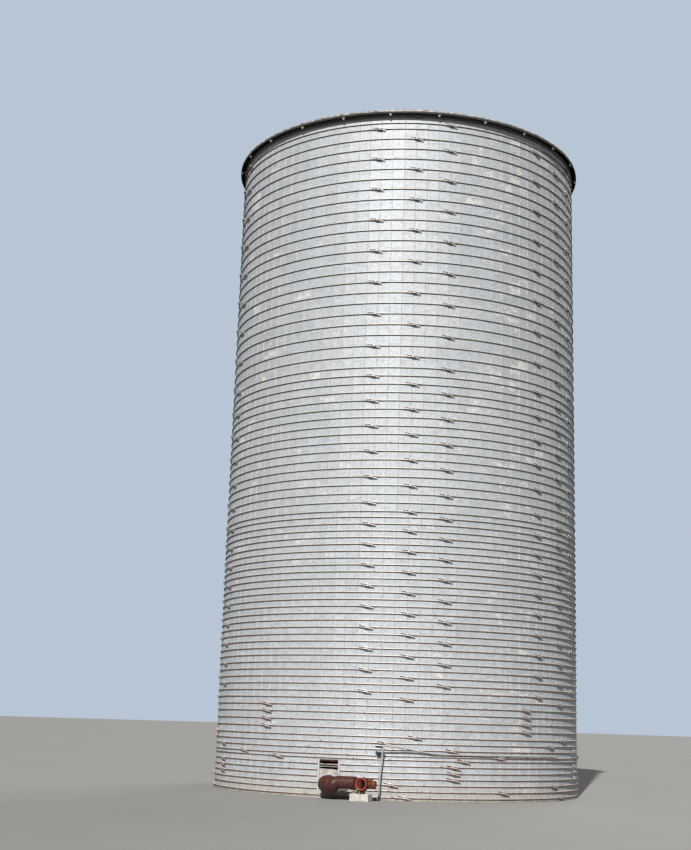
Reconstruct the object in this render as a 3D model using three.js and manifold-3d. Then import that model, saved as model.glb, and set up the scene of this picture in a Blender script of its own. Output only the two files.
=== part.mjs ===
// Concrete stave grain silo with steel hoops, a low conical sheet roof and an aeration fan at its hatch.
// Millimetres, +Z up. The origin is on the ground at the silo's axis, and the hatch faces -Y.
// Angles are in degrees round the axis, from -Y towards +X.
import * as THREE from 'three';
import * as BufferGeometryUtils from 'three/addons/utils/BufferGeometryUtils.js';
import Module from 'manifold-3d';

const wasm = await Module();
wasm.setup();

// Driving dimensions
const GAP = 0.3;
const WALL_R = 4330;
const WALL_T = 64;
const STAVE_COUNT = 100;
const SEGMENT_COUNT = 10;
const FOOTING_H = 30;
const FOOTING_R = 4352;
const SOFFIT_Z = 15632;

const EAVE_OVERHANG = 143;
const FASCIA_H = 50;
const ROOF_SLOPE = 20;
const SHEET_T = 8;
const SHEET_RIB_COUNT = 30;
const FIRST_RIB_ANGLE = -16.9;
const CAP_R = 420;
const HOLE_R = 300;
const NECK_R = 230;
const NECK_H = 260;
const RIB_SIZE = 44;

const HOOP_D = 24;
const TOP_HOOP_Z = 15542;
const HOOP_ZONES = [
  [2, 151.5], [23, 254.3], [17, 193.2], [1, 128], [28, 150], [3, 161], [3, 129], [1, 75], [6, 127.6],
];
const HOOP_NODE_STEP = 12;
const LUG_SIZE = [118, 56, 50];
const LUG_SEAT = 0.5;
const LUG_ANGLES = [9.9, 65.3, 146.9, 206.3, 287.9];
const LUG_SHIFTS = [11.9, 22.5, 0];
const LOW_LUG_SHIFTS = { 72: 50 };

const HATCH_HALF_W = 228;
const HATCH_SILL_Z = 90;
const HATCH_TOP_Z = 798;
const FRAME_STRIP_W = 36;
const LINER_T = 9;
const BAR_T = 10;
const UPPER_BAR_Z = [746, 774];
const LOWER_BAR_Z = [650, 686];
const BOARD_T = 24;
const BOARD_TOP_Z = 602;
const LOOSE_BOARD_Z = [640, 706];

const FAN_Y = -4740;
const ELBOW_D = 340;
const ELBOW_X = 20;
const ELBOW_Z = 300;
const BEND_R = 270;
const DUCT_D = 270;
const DUCT_Z = 352;
const REDUCER_L = 120;
const FAN_X = 930;
const FAN_Z = 341;
const FAN_D = 270;
const FAN_DEEP = 150;
const THROAT_L = 155;
const THROAT_H = 230;
const FLANGE_T = 10;
const INLET_D = 250;
const INLET_HOLE_D = 192;
const INLET_RING_T = 26;
const INLET_DEPTH = 120;
const MOTOR_D = 150;
const MOTOR_L = 160;
const TERMINAL_BOX = [78, 70, 54];
const BLOCK_L = 410;
const BLOCK_W = 260;
const BLOCK_H = 145;
const BLOCK_X = 897;
const BEARER_L = 190;
const BEARER_T = 26;

const BOX_ANGLE = 14.65;
const BOX_SIZE = [112, 42, 84];
const BOX_Z = 932;
const PIPE_D = 28;
const RISER_STANDOFF = 168;
const RUN_STANDOFF = 42;
const FITTING_W = 30;
const CLIP_W = 24;
const CLIP_H = 22;

const ROUND_SIDES = 24;
const STEP_ANGLE = 360 / STAVE_COUNT;
const SEGMENT_ANGLE = 360 / SEGMENT_COUNT;
const WALL_TOP_Z = SOFFIT_Z - GAP;
const EAVE_R = WALL_R + EAVE_OVERHANG;
const ROOF_TAN = Math.tan(THREE.MathUtils.degToRad(ROOF_SLOPE));

// Colours and finishes
const finish = (color, roughness, metalness) => ({ color, roughness, metalness });
const STAVES = finish(0xb9bdc0, 0.62, 0.25);
const CONCRETE = finish(0xa8a397, 0.95, 0);
const HOOP_STEEL = finish(0xc4c6c6, 0.5, 0.6);
const ROOF_SHEET = finish(0x8a8d8c, 0.55, 0.7);
const RUST = finish(0x6b3b28, 0.9, 0.2);
const DUCT_PAINT = finish(0x4a2c2a, 0.7, 0.3);
const FAN_PAINT = finish(0xb4492c, 0.65, 0.2);
const BOARD = finish(0x9c8b86, 0.85, 0);
const BOX_PAINT = finish(0x2c3d47, 0.5, 0.4);
const GALVANISED = finish(0xb6babb, 0.45, 0.8);

const silo = new THREE.Group();

function put(name, geometry, look) {
  const mesh = new THREE.Mesh(geometry, new THREE.MeshStandardMaterial(look));
  mesh.name = name;
  silo.add(mesh);
}

// Solid geometry helpers
function polar(angle, radius, z) {
  const a = THREE.MathUtils.degToRad(angle);
  return new THREE.Vector3(radius * Math.sin(a), -radius * Math.cos(a), z);
}

function merged(geometry) {
  const bare = geometry.clone();
  bare.deleteAttribute('normal');
  bare.deleteAttribute('uv');
  return BufferGeometryUtils.mergeVertices(bare, 1e-3);
}

function solid(geometry) {
  const bare = merged(geometry);
  const vertProperties = new Float32Array(bare.getAttribute('position').array);
  const triVerts = new Uint32Array(bare.index.array);
  return new wasm.Manifold(new wasm.Mesh({ numProp: 3, vertProperties, triVerts }));
}

function geometryOf(manifold) {
  const mesh = manifold.getMesh();
  const geometry = new THREE.BufferGeometry();
  geometry.setAttribute('position', new THREE.BufferAttribute(mesh.vertProperties, 3));
  geometry.setIndex(new THREE.BufferAttribute(mesh.triVerts, 1));
  return geometry;
}

const joined = (...shapes) => geometryOf(shapes.map(solid).reduce((a, b) => a.add(b)));

const cutFrom = (shape, tool) => geometryOf(solid(shape).subtract(solid(tool)));

// A flat stave's face lies inside the circle through its corners by this factor.
function staveFactor(angle) {
  const inStave = ((angle % STEP_ANGLE) + STEP_ANGLE) % STEP_ANGLE - STEP_ANGLE / 2;
  return Math.cos(THREE.MathUtils.degToRad(STEP_ANGLE / 2)) / Math.cos(THREE.MathUtils.degToRad(inStave));
}

// Sweeps a closed outline of [radius, z] points, anticlockwise, through the given angles round the axis.
function swept(outline, angles, closed = false, factor = () => 1) {
  const count = outline.length;
  const position = [];
  for (const angle of angles) {
    for (const [radius, z] of outline) position.push(...polar(angle, radius * factor(angle), z).toArray());
  }
  const index = [];
  const last = closed ? angles.length : angles.length - 1;
  for (let i = 0; i < last; i++) {
    const here = i * count;
    const next = ((i + 1) % angles.length) * count;
    for (let j = 0; j < count; j++) {
      const k = (j + 1) % count;
      index.push(here + j, next + j, next + k, here + j, next + k, here + k);
    }
  }
  if (!closed) {
    const flat = outline.map(([radius, z]) => new THREE.Vector2(radius, z));
    const end = (angles.length - 1) * count;
    for (const [a, b, c] of THREE.ShapeUtils.triangulateShape(flat, [])) {
      index.push(a, b, c);
      index.push(end + a, end + c, end + b);
    }
  }
  const geometry = new THREE.BufferGeometry();
  geometry.setAttribute('position', new THREE.Float32BufferAttribute(position, 3));
  geometry.setIndex(index);
  return geometry;
}

const band = (r0, r1, z0, z1) => [[r0, z0], [r1, z0], [r1, z1], [r0, z1]];

// The stave corners between two angles, with the two ends themselves.
function staveAngles(from, to) {
  const angles = [from];
  const first = Math.ceil((from + 1e-6) / STEP_ANGLE);
  for (let i = first; i * STEP_ANGLE < to - 1e-6; i++) angles.push(i * STEP_ANGLE);
  return [...angles, to];
}

const fullTurn = Array.from({ length: STAVE_COUNT }, (_, i) => i * STEP_ANGLE);

function box(size, centre) {
  return new THREE.BoxGeometry(...size).translate(...centre);
}

// A round bar that runs along +X from x0 to x1.
function barAlongX(diameter, x0, x1, y, z, sides = ROUND_SIDES) {
  const bar = new THREE.CylinderGeometry(diameter / 2, diameter / 2, x1 - x0, sides);
  return bar.rotateZ(Math.PI / 2).translate((x0 + x1) / 2, y, z);
}

function tubeAlong(curve, diameter, steps, sides = 10) {
  const section = new THREE.Shape();
  section.absarc(0, 0, diameter / 2, 0, 2 * Math.PI);
  const options = { extrudePath: curve, steps, curveSegments: sides / 2, bevelEnabled: false };
  return new THREE.ExtrudeGeometry(section, options);
}

// Foundation, which is also the floor inside
function addFoundation() {
  const disc = new THREE.CylinderGeometry(FOOTING_R, FOOTING_R, FOOTING_H - GAP, STAVE_COUNT);
  put('foundation_slab', disc.rotateX(Math.PI / 2).translate(0, 0, (FOOTING_H - GAP) / 2), CONCRETE);
}

// Wall in segments of ten staves, the first one split over, beside and under the hatch
function addWall() {
  const inner = WALL_R - WALL_T;
  const halfGap = THREE.MathUtils.radToDeg(GAP / 2 / WALL_R);
  const hatchAngle = THREE.MathUtils.radToDeg(Math.asin(HATCH_HALF_W / WALL_R));
  const piece = (name, from, to, z0, z1) => {
    const angles = staveAngles(from + halfGap, to - halfGap);
    put(name, swept(band(inner, WALL_R, z0, z1), angles, false, staveFactor), STAVES);
  };
  const half = SEGMENT_ANGLE / 2;
  piece('wall_over_hatch', -half, half, HATCH_TOP_Z, WALL_TOP_Z);
  piece('wall_left_of_hatch', -half, -hatchAngle, FOOTING_H, HATCH_TOP_Z - GAP);
  piece('wall_right_of_hatch', hatchAngle, half, FOOTING_H, HATCH_TOP_Z - GAP);
  piece('wall_under_hatch', -hatchAngle, hatchAngle, FOOTING_H, HATCH_SILL_Z - GAP);
  for (let k = 1; k < SEGMENT_COUNT; k++) {
    const middle = k * SEGMENT_ANGLE;
    piece(`wall_segment_${k + 1}`, middle - half, middle + half, FOOTING_H, WALL_TOP_Z);
  }
}

// Hoops, about 3, 4, 5 and 6 to a stave's height, closer towards the ground. Every twelfth is a solid here.
function hoopHeights() {
  const heights = [TOP_HOOP_Z];
  for (const [count, spacing] of HOOP_ZONES) {
    for (let i = 0; i < count; i++) heights.push(heights[heights.length - 1] - spacing);
  }
  return heights;
}

function addHoops() {
  const hoopR = WALL_R + GAP;
  const [lugW, lugDeep, lugH] = LUG_SIZE;
  hoopHeights().forEach((z, i) => {
    if (i % HOOP_NODE_STEP !== 0) return;
    const d = HOOP_D;
    const rod = [[hoopR, z], [hoopR + d / 2, z - d / 2], [hoopR + d, z], [hoopR + d / 2, z + d / 2]];
    const lugs = LUG_ANGLES.map((angle) => {
      const place = angle + (LOW_LUG_SHIFTS[i] ?? LUG_SHIFTS[i % LUG_SHIFTS.length]);
      const lug = box([lugW, lugDeep, lugH], [0, -(hoopR + LUG_SEAT + lugDeep / 2), z]);
      return lug.rotateZ(THREE.MathUtils.degToRad(place));
    });
    put(`hoop_${String(i + 1).padStart(2, '0')}`, joined(swept(rod, fullTurn, true), ...lugs), HOOP_STEEL);
  });
}

// Roof: ten sheet panels with three ribs each, a cap over the filling hole, and the eave's ring
const roofTop = (radius) => SOFFIT_Z + SHEET_T + (EAVE_R - radius) * ROOF_TAN;

function addRoof() {
  const bearingR = WALL_R - WALL_T - 30;
  const ribInset = 20;
  const ribEnd = CAP_R + 60;
  const panel = [
    [HOLE_R, roofTop(HOLE_R) - SHEET_T],
    [bearingR, roofTop(bearingR) - SHEET_T],
    [bearingR, SOFFIT_Z],
    [EAVE_R, SOFFIT_Z],
    [EAVE_R, SOFFIT_Z + SHEET_T],
    [HOLE_R, roofTop(HOLE_R)],
  ];
  const ribSpacing = 360 / SHEET_RIB_COUNT;
  const ribsEach = SHEET_RIB_COUNT / SEGMENT_COUNT;
  const halfGap = 0.004;
  const steps = 9;
  const ribMiddle = (EAVE_R - ribInset + ribEnd) / 2;
  const ribLength = (EAVE_R - ribInset - ribEnd) / Math.cos(THREE.MathUtils.degToRad(ROOF_SLOPE));
  for (let k = 0; k < SEGMENT_COUNT; k++) {
    const from = FIRST_RIB_ANGLE - ribSpacing / 2 + k * SEGMENT_ANGLE;
    const angles = Array.from({ length: steps + 1 }, (_, i) => {
      const inset = i === 0 ? halfGap : i === steps ? -halfGap : 0;
      return from + (i * SEGMENT_ANGLE) / steps + inset;
    });
    const ribs = Array.from({ length: ribsEach }, (_, i) => {
      const rib = new THREE.BoxGeometry(RIB_SIZE, ribLength, RIB_SIZE);
      rib.rotateX(THREE.MathUtils.degToRad(ROOF_SLOPE));
      rib.translate(0, -ribMiddle, roofTop(ribMiddle) + RIB_SIZE / 4);
      return rib.rotateZ(THREE.MathUtils.degToRad(from + ribSpacing * (i + 0.5)));
    });
    put(`roof_panel_${k + 1}`, joined(swept(panel, angles), ...ribs), ROOF_SHEET);
  }
  addCap();
  addEave(ribSpacing);
}

function addCap() {
  const seat = 0.8;
  const rimH = 30;
  const crownH = 40;
  const neckTop = roofTop(NECK_R) + NECK_H;
  const profile = [
    [0, roofTop(0) + seat], [CAP_R, roofTop(CAP_R) + seat], [CAP_R, roofTop(CAP_R) + rimH],
    [NECK_R, roofTop(NECK_R) + crownH], [NECK_R, neckTop], [0, neckTop],
  ].map(([radius, z]) => new THREE.Vector2(radius, z));
  put('roof_cap', new THREE.LatheGeometry(profile, 40).rotateX(Math.PI / 2), ROOF_SHEET);
}

function addEave(ribSpacing) {
  const fasciaT = 6;
  const bracketW = 26;
  const bracketH = FASCIA_H - 10;
  const top = SOFFIT_Z - GAP;
  const inner = WALL_R + 12;
  const angle = [
    [inner, top - fasciaT], [EAVE_R - fasciaT, top - fasciaT], [EAVE_R - fasciaT, top - FASCIA_H],
    [EAVE_R, top - FASCIA_H], [EAVE_R, top], [inner, top],
  ];
  const bracketLength = EAVE_R - fasciaT - inner;
  const brackets = Array.from({ length: SHEET_RIB_COUNT }, (_, i) => {
    const middle = [0, -(inner + bracketLength / 2), top - fasciaT - bracketH / 2 + 1];
    const bracket = box([bracketW, bracketLength + 4, bracketH], middle);
    return bracket.rotateZ(THREE.MathUtils.degToRad(FIRST_RIB_ANGLE + i * ribSpacing));
  });
  put('eave_ring', joined(swept(angle, fullTurn, true), ...brackets), GALVANISED);
}

// Hatch: a steel frame that lines the opening, two rusty bars, a loose board behind the lower one, and the
// boards that the duct passes through
function addHatch() {
  const middleZ = (HATCH_SILL_Z + HATCH_TOP_Z) / 2;
  const innerFace = WALL_R - WALL_T - 6;
  const outerFace = WALL_R + 2;
  const stripT = 10;
  const lintelH = 24;
  const linerHalf = (HATCH_HALF_W / WALL_R) * (WALL_R - WALL_T) - 1;
  const height = HATCH_TOP_Z - HATCH_SILL_Z - 2 * GAP;
  const depth = outerFace - innerFace;
  const linerY = -(innerFace + depth / 2);
  const stripY = -(outerFace + stripT / 2 - 2);
  const inside = 2 * (linerHalf - LINER_T);
  const frame = joined(
    box([2 * linerHalf, depth, height], [0, linerY, middleZ]),
    box([inside + 2 * FRAME_STRIP_W, stripT, lintelH], [0, stripY, HATCH_TOP_Z - lintelH / 2 - GAP]),
    ...[-1, 1].map((side) => {
      const x = side * (inside + FRAME_STRIP_W) / 2;
      return box([FRAME_STRIP_W, stripT, height], [x, stripY, middleZ]);
    }),
  );
  const room = box([inside, depth + 40, height - 2 * LINER_T], [0, linerY, middleZ]);
  put('hatch_frame', cutFrom(frame, room), STAVES);

  const fitW = inside - 2 * GAP;
  for (const [name, [z0, z1]] of [['hatch_bar_upper', UPPER_BAR_Z], ['hatch_bar_lower', LOWER_BAR_Z]]) {
    put(name, box([fitW, BAR_T, z1 - z0], [0, -(outerFace - 8), (z0 + z1) / 2]), RUST);
  }

  const boardY = -(WALL_R - 34);
  const boardZ0 = HATCH_SILL_Z + LINER_T + 2 * GAP;
  const board = box([fitW, BOARD_T, BOARD_TOP_Z - boardZ0], [0, boardY, (BOARD_TOP_Z + boardZ0) / 2]);
  put('hatch_boards', cutFrom(board, elbowHole(boardY, 200)), BOARD);
  const [looseZ0, looseZ1] = LOOSE_BOARD_Z;
  const looseY = -(outerFace - 8 - BAR_T / 2 - GAP - BOARD_T / 2);
  const loose = box([fitW, BOARD_T, looseZ1 - looseZ0], [0, looseY, (looseZ0 + looseZ1) / 2]);
  put('hatch_loose_board', loose, BOARD);
}

// The elbow's leg through the boards and the collar, as a tool that leaves a gap all round.
function elbowHole(y, length) {
  const hole = new THREE.CylinderGeometry(ELBOW_D / 2 + GAP, ELBOW_D / 2 + GAP, length, ROUND_SIDES);
  return hole.translate(ELBOW_X, y, ELBOW_Z);
}

// Aeration fan: elbow out of the hatch, duct, round fan housing that faces away from the wall with a ring
// round its inlet, motor beside it, and the concrete block under them
function addFan() {
  put('fan_elbow', elbowSolid(), DUCT_PAINT);

  const collarT = 16;
  const collarR = ELBOW_D / 2 + 50;
  const collarY = -(WALL_R + 10 + GAP + collarT / 2);
  const collar = new THREE.CylinderGeometry(collarR, collarR, collarT, 32);
  collar.translate(ELBOW_X, collarY, ELBOW_Z);
  put('duct_collar', cutFrom(collar, elbowHole(collarY, 60)), GALVANISED);

  const reducerX = ELBOW_X + BEND_R + GAP;
  put('duct_reducer', reducerSolid(reducerX), DUCT_PAINT);
  const throatX = FAN_X - THROAT_L;
  const ductX = reducerX + REDUCER_L + GAP;
  put('fan_duct', barAlongX(DUCT_D, ductX, throatX - FLANGE_T - GAP, FAN_Y, DUCT_Z), DUCT_PAINT);

  const front = FAN_Y - FAN_DEEP / 2;
  const motorX = FAN_X + FAN_D / 2 + GAP;
  const footZ = [BLOCK_H, FAN_Z - FAN_D / 2 + 20];
  const shelfX = [FAN_X + 60, motorX + MOTOR_L];
  const shelfTop = FAN_Z - MOTOR_D / 2 - GAP;
  const housing = joined(
    discAlongY(FAN_D, front, front + FAN_DEEP),
    box([THROAT_L, FAN_DEEP, THROAT_H], [FAN_X - THROAT_L / 2, FAN_Y, DUCT_Z]),
    barAlongX(DUCT_D, throatX - FLANGE_T, throatX + 1, FAN_Y, DUCT_Z),
    box([90, 110, footZ[1] - footZ[0]], [FAN_X, FAN_Y, (footZ[0] + footZ[1]) / 2]),
    box([shelfX[1] - shelfX[0], 110, 12], [(shelfX[0] + shelfX[1]) / 2, FAN_Y, shelfTop - 6]),
  );
  put('fan_housing', cutFrom(housing, discAlongY(INLET_HOLE_D, front - 10, front + INLET_DEPTH)), DUCT_PAINT);
  const ring = discAlongY(INLET_D, front - GAP - INLET_RING_T, front - GAP);
  put('inlet_ring', cutFrom(ring, discAlongY(INLET_HOLE_D, front - 2 * INLET_RING_T, front + 1)), FAN_PAINT);

  put('fan_motor', barAlongX(MOTOR_D, motorX, motorX + MOTOR_L, FAN_Y, FAN_Z), RUST);
  const [boxW, boxDeep, boxH] = TERMINAL_BOX;
  const boxZ = FAN_Z + MOTOR_D / 2 + GAP + boxH / 2;
  put('motor_terminal_box', box([boxW, boxDeep, boxH], [motorX + 45, FAN_Y, boxZ]), RUST);

  put('fan_block', box([BLOCK_L, BLOCK_W, BLOCK_H - GAP], [BLOCK_X, FAN_Y, (BLOCK_H - GAP) / 2]), CONCRETE);
  const bearerX = BLOCK_X - BLOCK_L / 2 + BEARER_L / 2 - 40;
  const bearerTop = DUCT_Z - DUCT_D / 2 - GAP;
  const packing = [BLOCK_H, bearerTop - BEARER_T + 2];
  put('fan_bearer', joined(
    box([BEARER_L, BLOCK_W - 40, BEARER_T], [bearerX, FAN_Y, bearerTop - BEARER_T / 2]),
    box([BEARER_L - 90, BLOCK_W - 90, packing[1] - packing[0]],
      [bearerX + 30, FAN_Y, (packing[0] + packing[1]) / 2]),
  ), BOARD);
}

// A disc or hole of the fan, round its own axis along Y.
function discAlongY(diameter, y0, y1) {
  const disc = new THREE.CylinderGeometry(diameter / 2, diameter / 2, y1 - y0, 32);
  return disc.translate(FAN_X, (y0 + y1) / 2, FAN_Z);
}

// The elbow's straight leg starts inside the wall, and its bend ends facing +X.
function elbowSolid() {
  const arcSteps = 8;
  const rings = [{ x: ELBOW_X, y: -(WALL_R - WALL_T + 10), turn: 0 }];
  for (let i = 0; i <= arcSteps; i++) {
    const turn = (Math.PI / 2) * (i / arcSteps);
    const x = ELBOW_X + BEND_R * (1 - Math.cos(turn));
    const y = FAN_Y + BEND_R * (1 - Math.sin(turn));
    rings.push({ x, y, turn });
  }
  const position = [];
  for (const { x, y, turn } of rings) {
    for (let j = 0; j < ROUND_SIDES; j++) {
      const a = (2 * Math.PI * j) / ROUND_SIDES;
      const out = (ELBOW_D / 2) * Math.cos(a);
      const up = (ELBOW_D / 2) * Math.sin(a);
      position.push(x + out * Math.cos(turn), y + out * Math.sin(turn), ELBOW_Z + up);
    }
  }
  return loft(position, rings.length, ROUND_SIDES);
}

function reducerSolid(x0) {
  const position = [];
  for (const [x, diameter, z] of [[x0, ELBOW_D, ELBOW_Z], [x0 + REDUCER_L, DUCT_D, DUCT_Z]]) {
    for (let j = 0; j < ROUND_SIDES; j++) {
      const a = (2 * Math.PI * j) / ROUND_SIDES;
      position.push(x, FAN_Y + (diameter / 2) * Math.cos(a), z + (diameter / 2) * Math.sin(a));
    }
  }
  return loft(position, 2, ROUND_SIDES);
}

// Joins rings of points, given one after another, into a closed solid with flat ends.
function loft(position, rings, sides) {
  const index = [];
  for (let i = 0; i < rings - 1; i++) {
    for (let j = 0; j < sides; j++) {
      const k = (j + 1) % sides;
      const here = i * sides;
      const next = here + sides;
      index.push(here + j, here + k, next + k, here + j, next + k, next + j);
    }
  }
  const end = (rings - 1) * sides;
  for (let j = 1; j < sides - 1; j++) {
    index.push(0, j + 1, j);
    index.push(end, end + j, end + j + 1);
  }
  const geometry = new THREE.BufferGeometry();
  geometry.setAttribute('position', new THREE.Float32BufferAttribute(position, 3));
  geometry.setIndex(index);
  return geometry;
}

// Switch box and pipes on the wall. Their feet stand on the staves between the hoops.
function wallBlock(angle, width, r0, r1, z0, z1) {
  const block = box([width, r1 - r0, z1 - z0], [0, -(r0 + r1) / 2, (z0 + z1) / 2]);
  return block.rotateZ(THREE.MathUtils.degToRad(angle));
}

function addSwitchBox(wallFace) {
  const [boxW, boxDeep, boxH] = BOX_SIZE;
  const footW = boxW - 30;
  const footH = 20;
  const back = wallFace + HOOP_D + 4;
  const [low, high] = [BOX_Z - boxH / 2, BOX_Z + boxH / 2];
  put('switch_box', joined(
    wallBlock(BOX_ANGLE, boxW, back, back + boxDeep, low, high),
    wallBlock(BOX_ANGLE, footW, wallFace, back + 2, low, low + footH),
    wallBlock(BOX_ANGLE, footW, wallFace, back + 2, high - footH, high),
  ), BOX_PAINT);
}

// Pipes run through [angle, z, standoff] points, with the standoff from the wall's face to the pipe's middle.
// The riser bends into a fitting on the long pipe's end. Clips hold the long pipe where it lies on the wall.
function addPipes(wallFace) {
  const curve = (points) =>
    new THREE.CatmullRomCurve3(points.map(([angle, z, standoff]) => polar(angle, WALL_R + standoff, z)));
  const clip = ([angle, z, standoff]) => {
    const top = z - PIPE_D / 2 + 5;
    return wallBlock(angle, CLIP_W, wallFace, WALL_R + standoff, top - CLIP_H, top);
  };

  const riser = [
    [14.7, 3], [14.82, 200], [15.07, 632], [15.57, 974],
    [15.74, 1040], [15.3, 1074], [14.6, 1083], [13.702, 1083],
  ].map(([angle, z]) => [angle, z, RISER_STANDOFF]);
  put('conduit_riser', tubeAlong(curve(riser), PIPE_D, 30, 8), GALVANISED);

  const off = [[13.5, 1114, 174], [15.4, 1109, 170], [18.5, 1098, 150], [21.8, 1063, 100], [24.9, 1021, 58]];
  const close = (angle, z) => [angle, z, RUN_STANDOFF];
  const held = [close(35.4, 960), close(48.8, 956), close(60.5, 956), close(72, 955)];
  const run = [...off, close(27.7, 992), close(30.1, 973), ...held, close(75, 955)];
  const fitting = wallBlock(off[0][0], FITTING_W, WALL_R + 154, WALL_R + 194, 1066, 1132);
  put('conduit_run', joined(tubeAlong(curve(run), PIPE_D, 40, 8), fitting, ...held.map(clip)), GALVANISED);
}

function addElectrics() {
  const wallFace = WALL_R + GAP;
  addSwitchBox(wallFace);
  addPipes(wallFace);
}

addFoundation();
addWall();
addHoops();
addRoof();
addHatch();
addFan();
addElectrics();

export default silo;
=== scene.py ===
"""Looks of a concrete stave grain silo, laid out as a Blender add-on and run as a script.

Each operator makes one piece, or one group of like pieces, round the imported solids.
Lengths are in metres. Angles run round the silo's axis, in degrees, from -Y towards +X.
"""
import math
import random

import bmesh
import bpy
import numpy as np
from mathutils import Matrix, Vector, noise


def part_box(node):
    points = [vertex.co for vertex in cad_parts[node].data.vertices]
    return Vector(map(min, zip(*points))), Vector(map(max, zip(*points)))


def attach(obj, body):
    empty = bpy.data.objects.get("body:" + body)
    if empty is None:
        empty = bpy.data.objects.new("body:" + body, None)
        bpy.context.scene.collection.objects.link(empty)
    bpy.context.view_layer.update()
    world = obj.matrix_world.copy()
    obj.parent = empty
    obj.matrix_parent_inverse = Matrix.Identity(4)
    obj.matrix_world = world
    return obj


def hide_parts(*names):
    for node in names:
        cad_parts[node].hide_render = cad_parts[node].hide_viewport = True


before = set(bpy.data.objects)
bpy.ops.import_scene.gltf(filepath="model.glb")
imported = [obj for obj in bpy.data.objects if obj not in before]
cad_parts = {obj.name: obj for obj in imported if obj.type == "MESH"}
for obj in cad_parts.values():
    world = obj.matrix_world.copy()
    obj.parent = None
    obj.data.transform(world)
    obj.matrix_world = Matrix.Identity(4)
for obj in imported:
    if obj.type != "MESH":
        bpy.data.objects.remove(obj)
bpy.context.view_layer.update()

bl_info = {
    "name": "Stave Silo Dresser",
    "version": (1, 0, 0),
    "blender": (4, 5, 0),
    "location": "3D View > Sidebar > Silo",
    "description": "Dresses a packed stave silo with staves, hoops, sheets and weathered finishes",
    "category": "Object",
}

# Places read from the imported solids
WALL_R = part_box("wall_segment_6")[1].y
WALL_BOTTOM, WALL_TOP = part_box("wall_segment_6")[0].z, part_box("wall_segment_6")[1].z
HATCH_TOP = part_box("wall_over_hatch")[0].z
SILL_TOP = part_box("wall_under_hatch")[1].z
HATCH_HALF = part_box("wall_under_hatch")[1].x
EAVE_R, EAVE_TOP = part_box("eave_ring")[1].y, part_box("eave_ring")[1].z

STAVE_COUNT = 100
SEGMENT_COUNT = 10
STAVES_EACH = STAVE_COUNT // SEGMENT_COUNT
STAVE_ANGLE = 360 / STAVE_COUNT
SEGMENT_ANGLE = 360 / SEGMENT_COUNT
WALL_T = 0.064
OUTWARD, INWARD = Vector((0, -1, 0)), Vector((0, 1, 0))
UP, DOWN = Vector((0, 0, 1)), Vector((0, 0, -1))
ALONG_X = Vector((1, 0, 0))


# Settings

def length_setting(name, description, default):
    return bpy.props.FloatProperty(name=name, description=description, default=default, unit="LENGTH")


def colour_setting(name, description, default):
    return bpy.props.FloatVectorProperty(name=name, description=description, default=default, subtype="COLOR")


def angle_setting(name, description, default):
    return bpy.props.FloatProperty(name=name, description=description, default=default, subtype="ANGLE")


class SiloSizes(bpy.types.PropertyGroup):
    stave_height: length_setting("Stave height", "Height of one concrete stave", 0.762)
    joint_width: length_setting("Joint width", "Open upright joint between two staves", 0.0025)
    bed_joint: length_setting("Bed joint", "Tight level joint between two staves", 0.0010)
    stave_chamfer: length_setting("Stave chamfer", "Chamfer round a stave's outer face", 0.0030)
    rod_diameter: length_setting("Rod diameter", "Diameter of a hoop rod", 0.024)
    rod_overlap: length_setting("Rod overlap", "How far a rod's end runs past the middle of its lug", 0.150)


class SiloColours(bpy.types.PropertyGroup):
    paint: colour_setting("Aluminium paint", "Weathered silver paint on the staves", (0.60, 0.64, 0.68))
    primer: colour_setting("Bare patches", "Cream concrete where the paint is gone", (0.76, 0.735, 0.69))
    rust: colour_setting("Rust", "Orange brown rust on hoops and bars", (0.27, 0.095, 0.035))
    fan_red: colour_setting("Fan red", "Faded red paint on the fan's inlet ring", (0.42, 0.060, 0.020))
    duct_brown: colour_setting("Duct brown", "Dark brown paint on duct and housing", (0.085, 0.026, 0.021))


class SiloView(bpy.types.PropertyGroup):
    focal_pixels: bpy.props.FloatProperty(
        name="Focal length", description="Focal length in pixels of the 850 high picture", default=1341.0)
    distance: length_setting("Distance", "From the camera to the silo's axis", 33.74)
    eye_height: length_setting("Eye height", "Camera height over the ground", 1.686)
    bearing: angle_setting("Bearing", "Where the camera stands round the silo", math.radians(19.1))
    pitch: angle_setting("Pitch", "Upward tilt", 0.2472)
    roll: angle_setting("Roll", "Lean of the camera", 0.0301)
    yaw: angle_setting("Yaw", "Turn to the left of the axis", 0.0367)
    shift_x: bpy.props.FloatProperty(name="Shift across", description="Lens shift across", default=-0.0122)
    shift_y: bpy.props.FloatProperty(name="Shift up", description="Lens shift up", default=-0.0550)


# Mesh helpers

def turn(angle):
    """Turns a shape made at angle 0, on the -Y side, to an angle round the silo's axis."""
    return Matrix.Rotation(math.radians(angle), 4, "Z")


def polar(angle, radius, z):
    return turn(angle) @ Vector((0, -radius, z))


def along(axis, place):
    """A matrix that lays local Z along an axis and puts the origin at a place."""
    return Matrix.Translation(place) @ Vector(axis).to_track_quat("Z", "Y").to_matrix().to_4x4()


def centre_of(node):
    low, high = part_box(node)
    return (low + high) / 2


def as_mesh(bm, name="pattern"):
    mesh = bpy.data.meshes.new(name)
    bm.to_mesh(mesh)
    bm.free()
    return mesh


def make_piece(name, bm, look, replaced=(), smooth=None):
    """Turns a bmesh into a piece that rides on the silo and stands for the given nodes.

    With smooth, in degrees, it is shaded smooth, and edges steeper than that stay sharp.
    """
    mesh = as_mesh(bm, name)
    piece = bpy.data.objects.new(name, mesh)
    bpy.context.scene.collection.objects.link(piece)
    mesh.materials.append(finish(look))
    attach(piece, "root")
    if replaced:
        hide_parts(*replaced)
    if smooth:
        mesh.shade_smooth()
        mesh.set_sharp_from_angle(angle=math.radians(smooth))
    return piece


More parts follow.
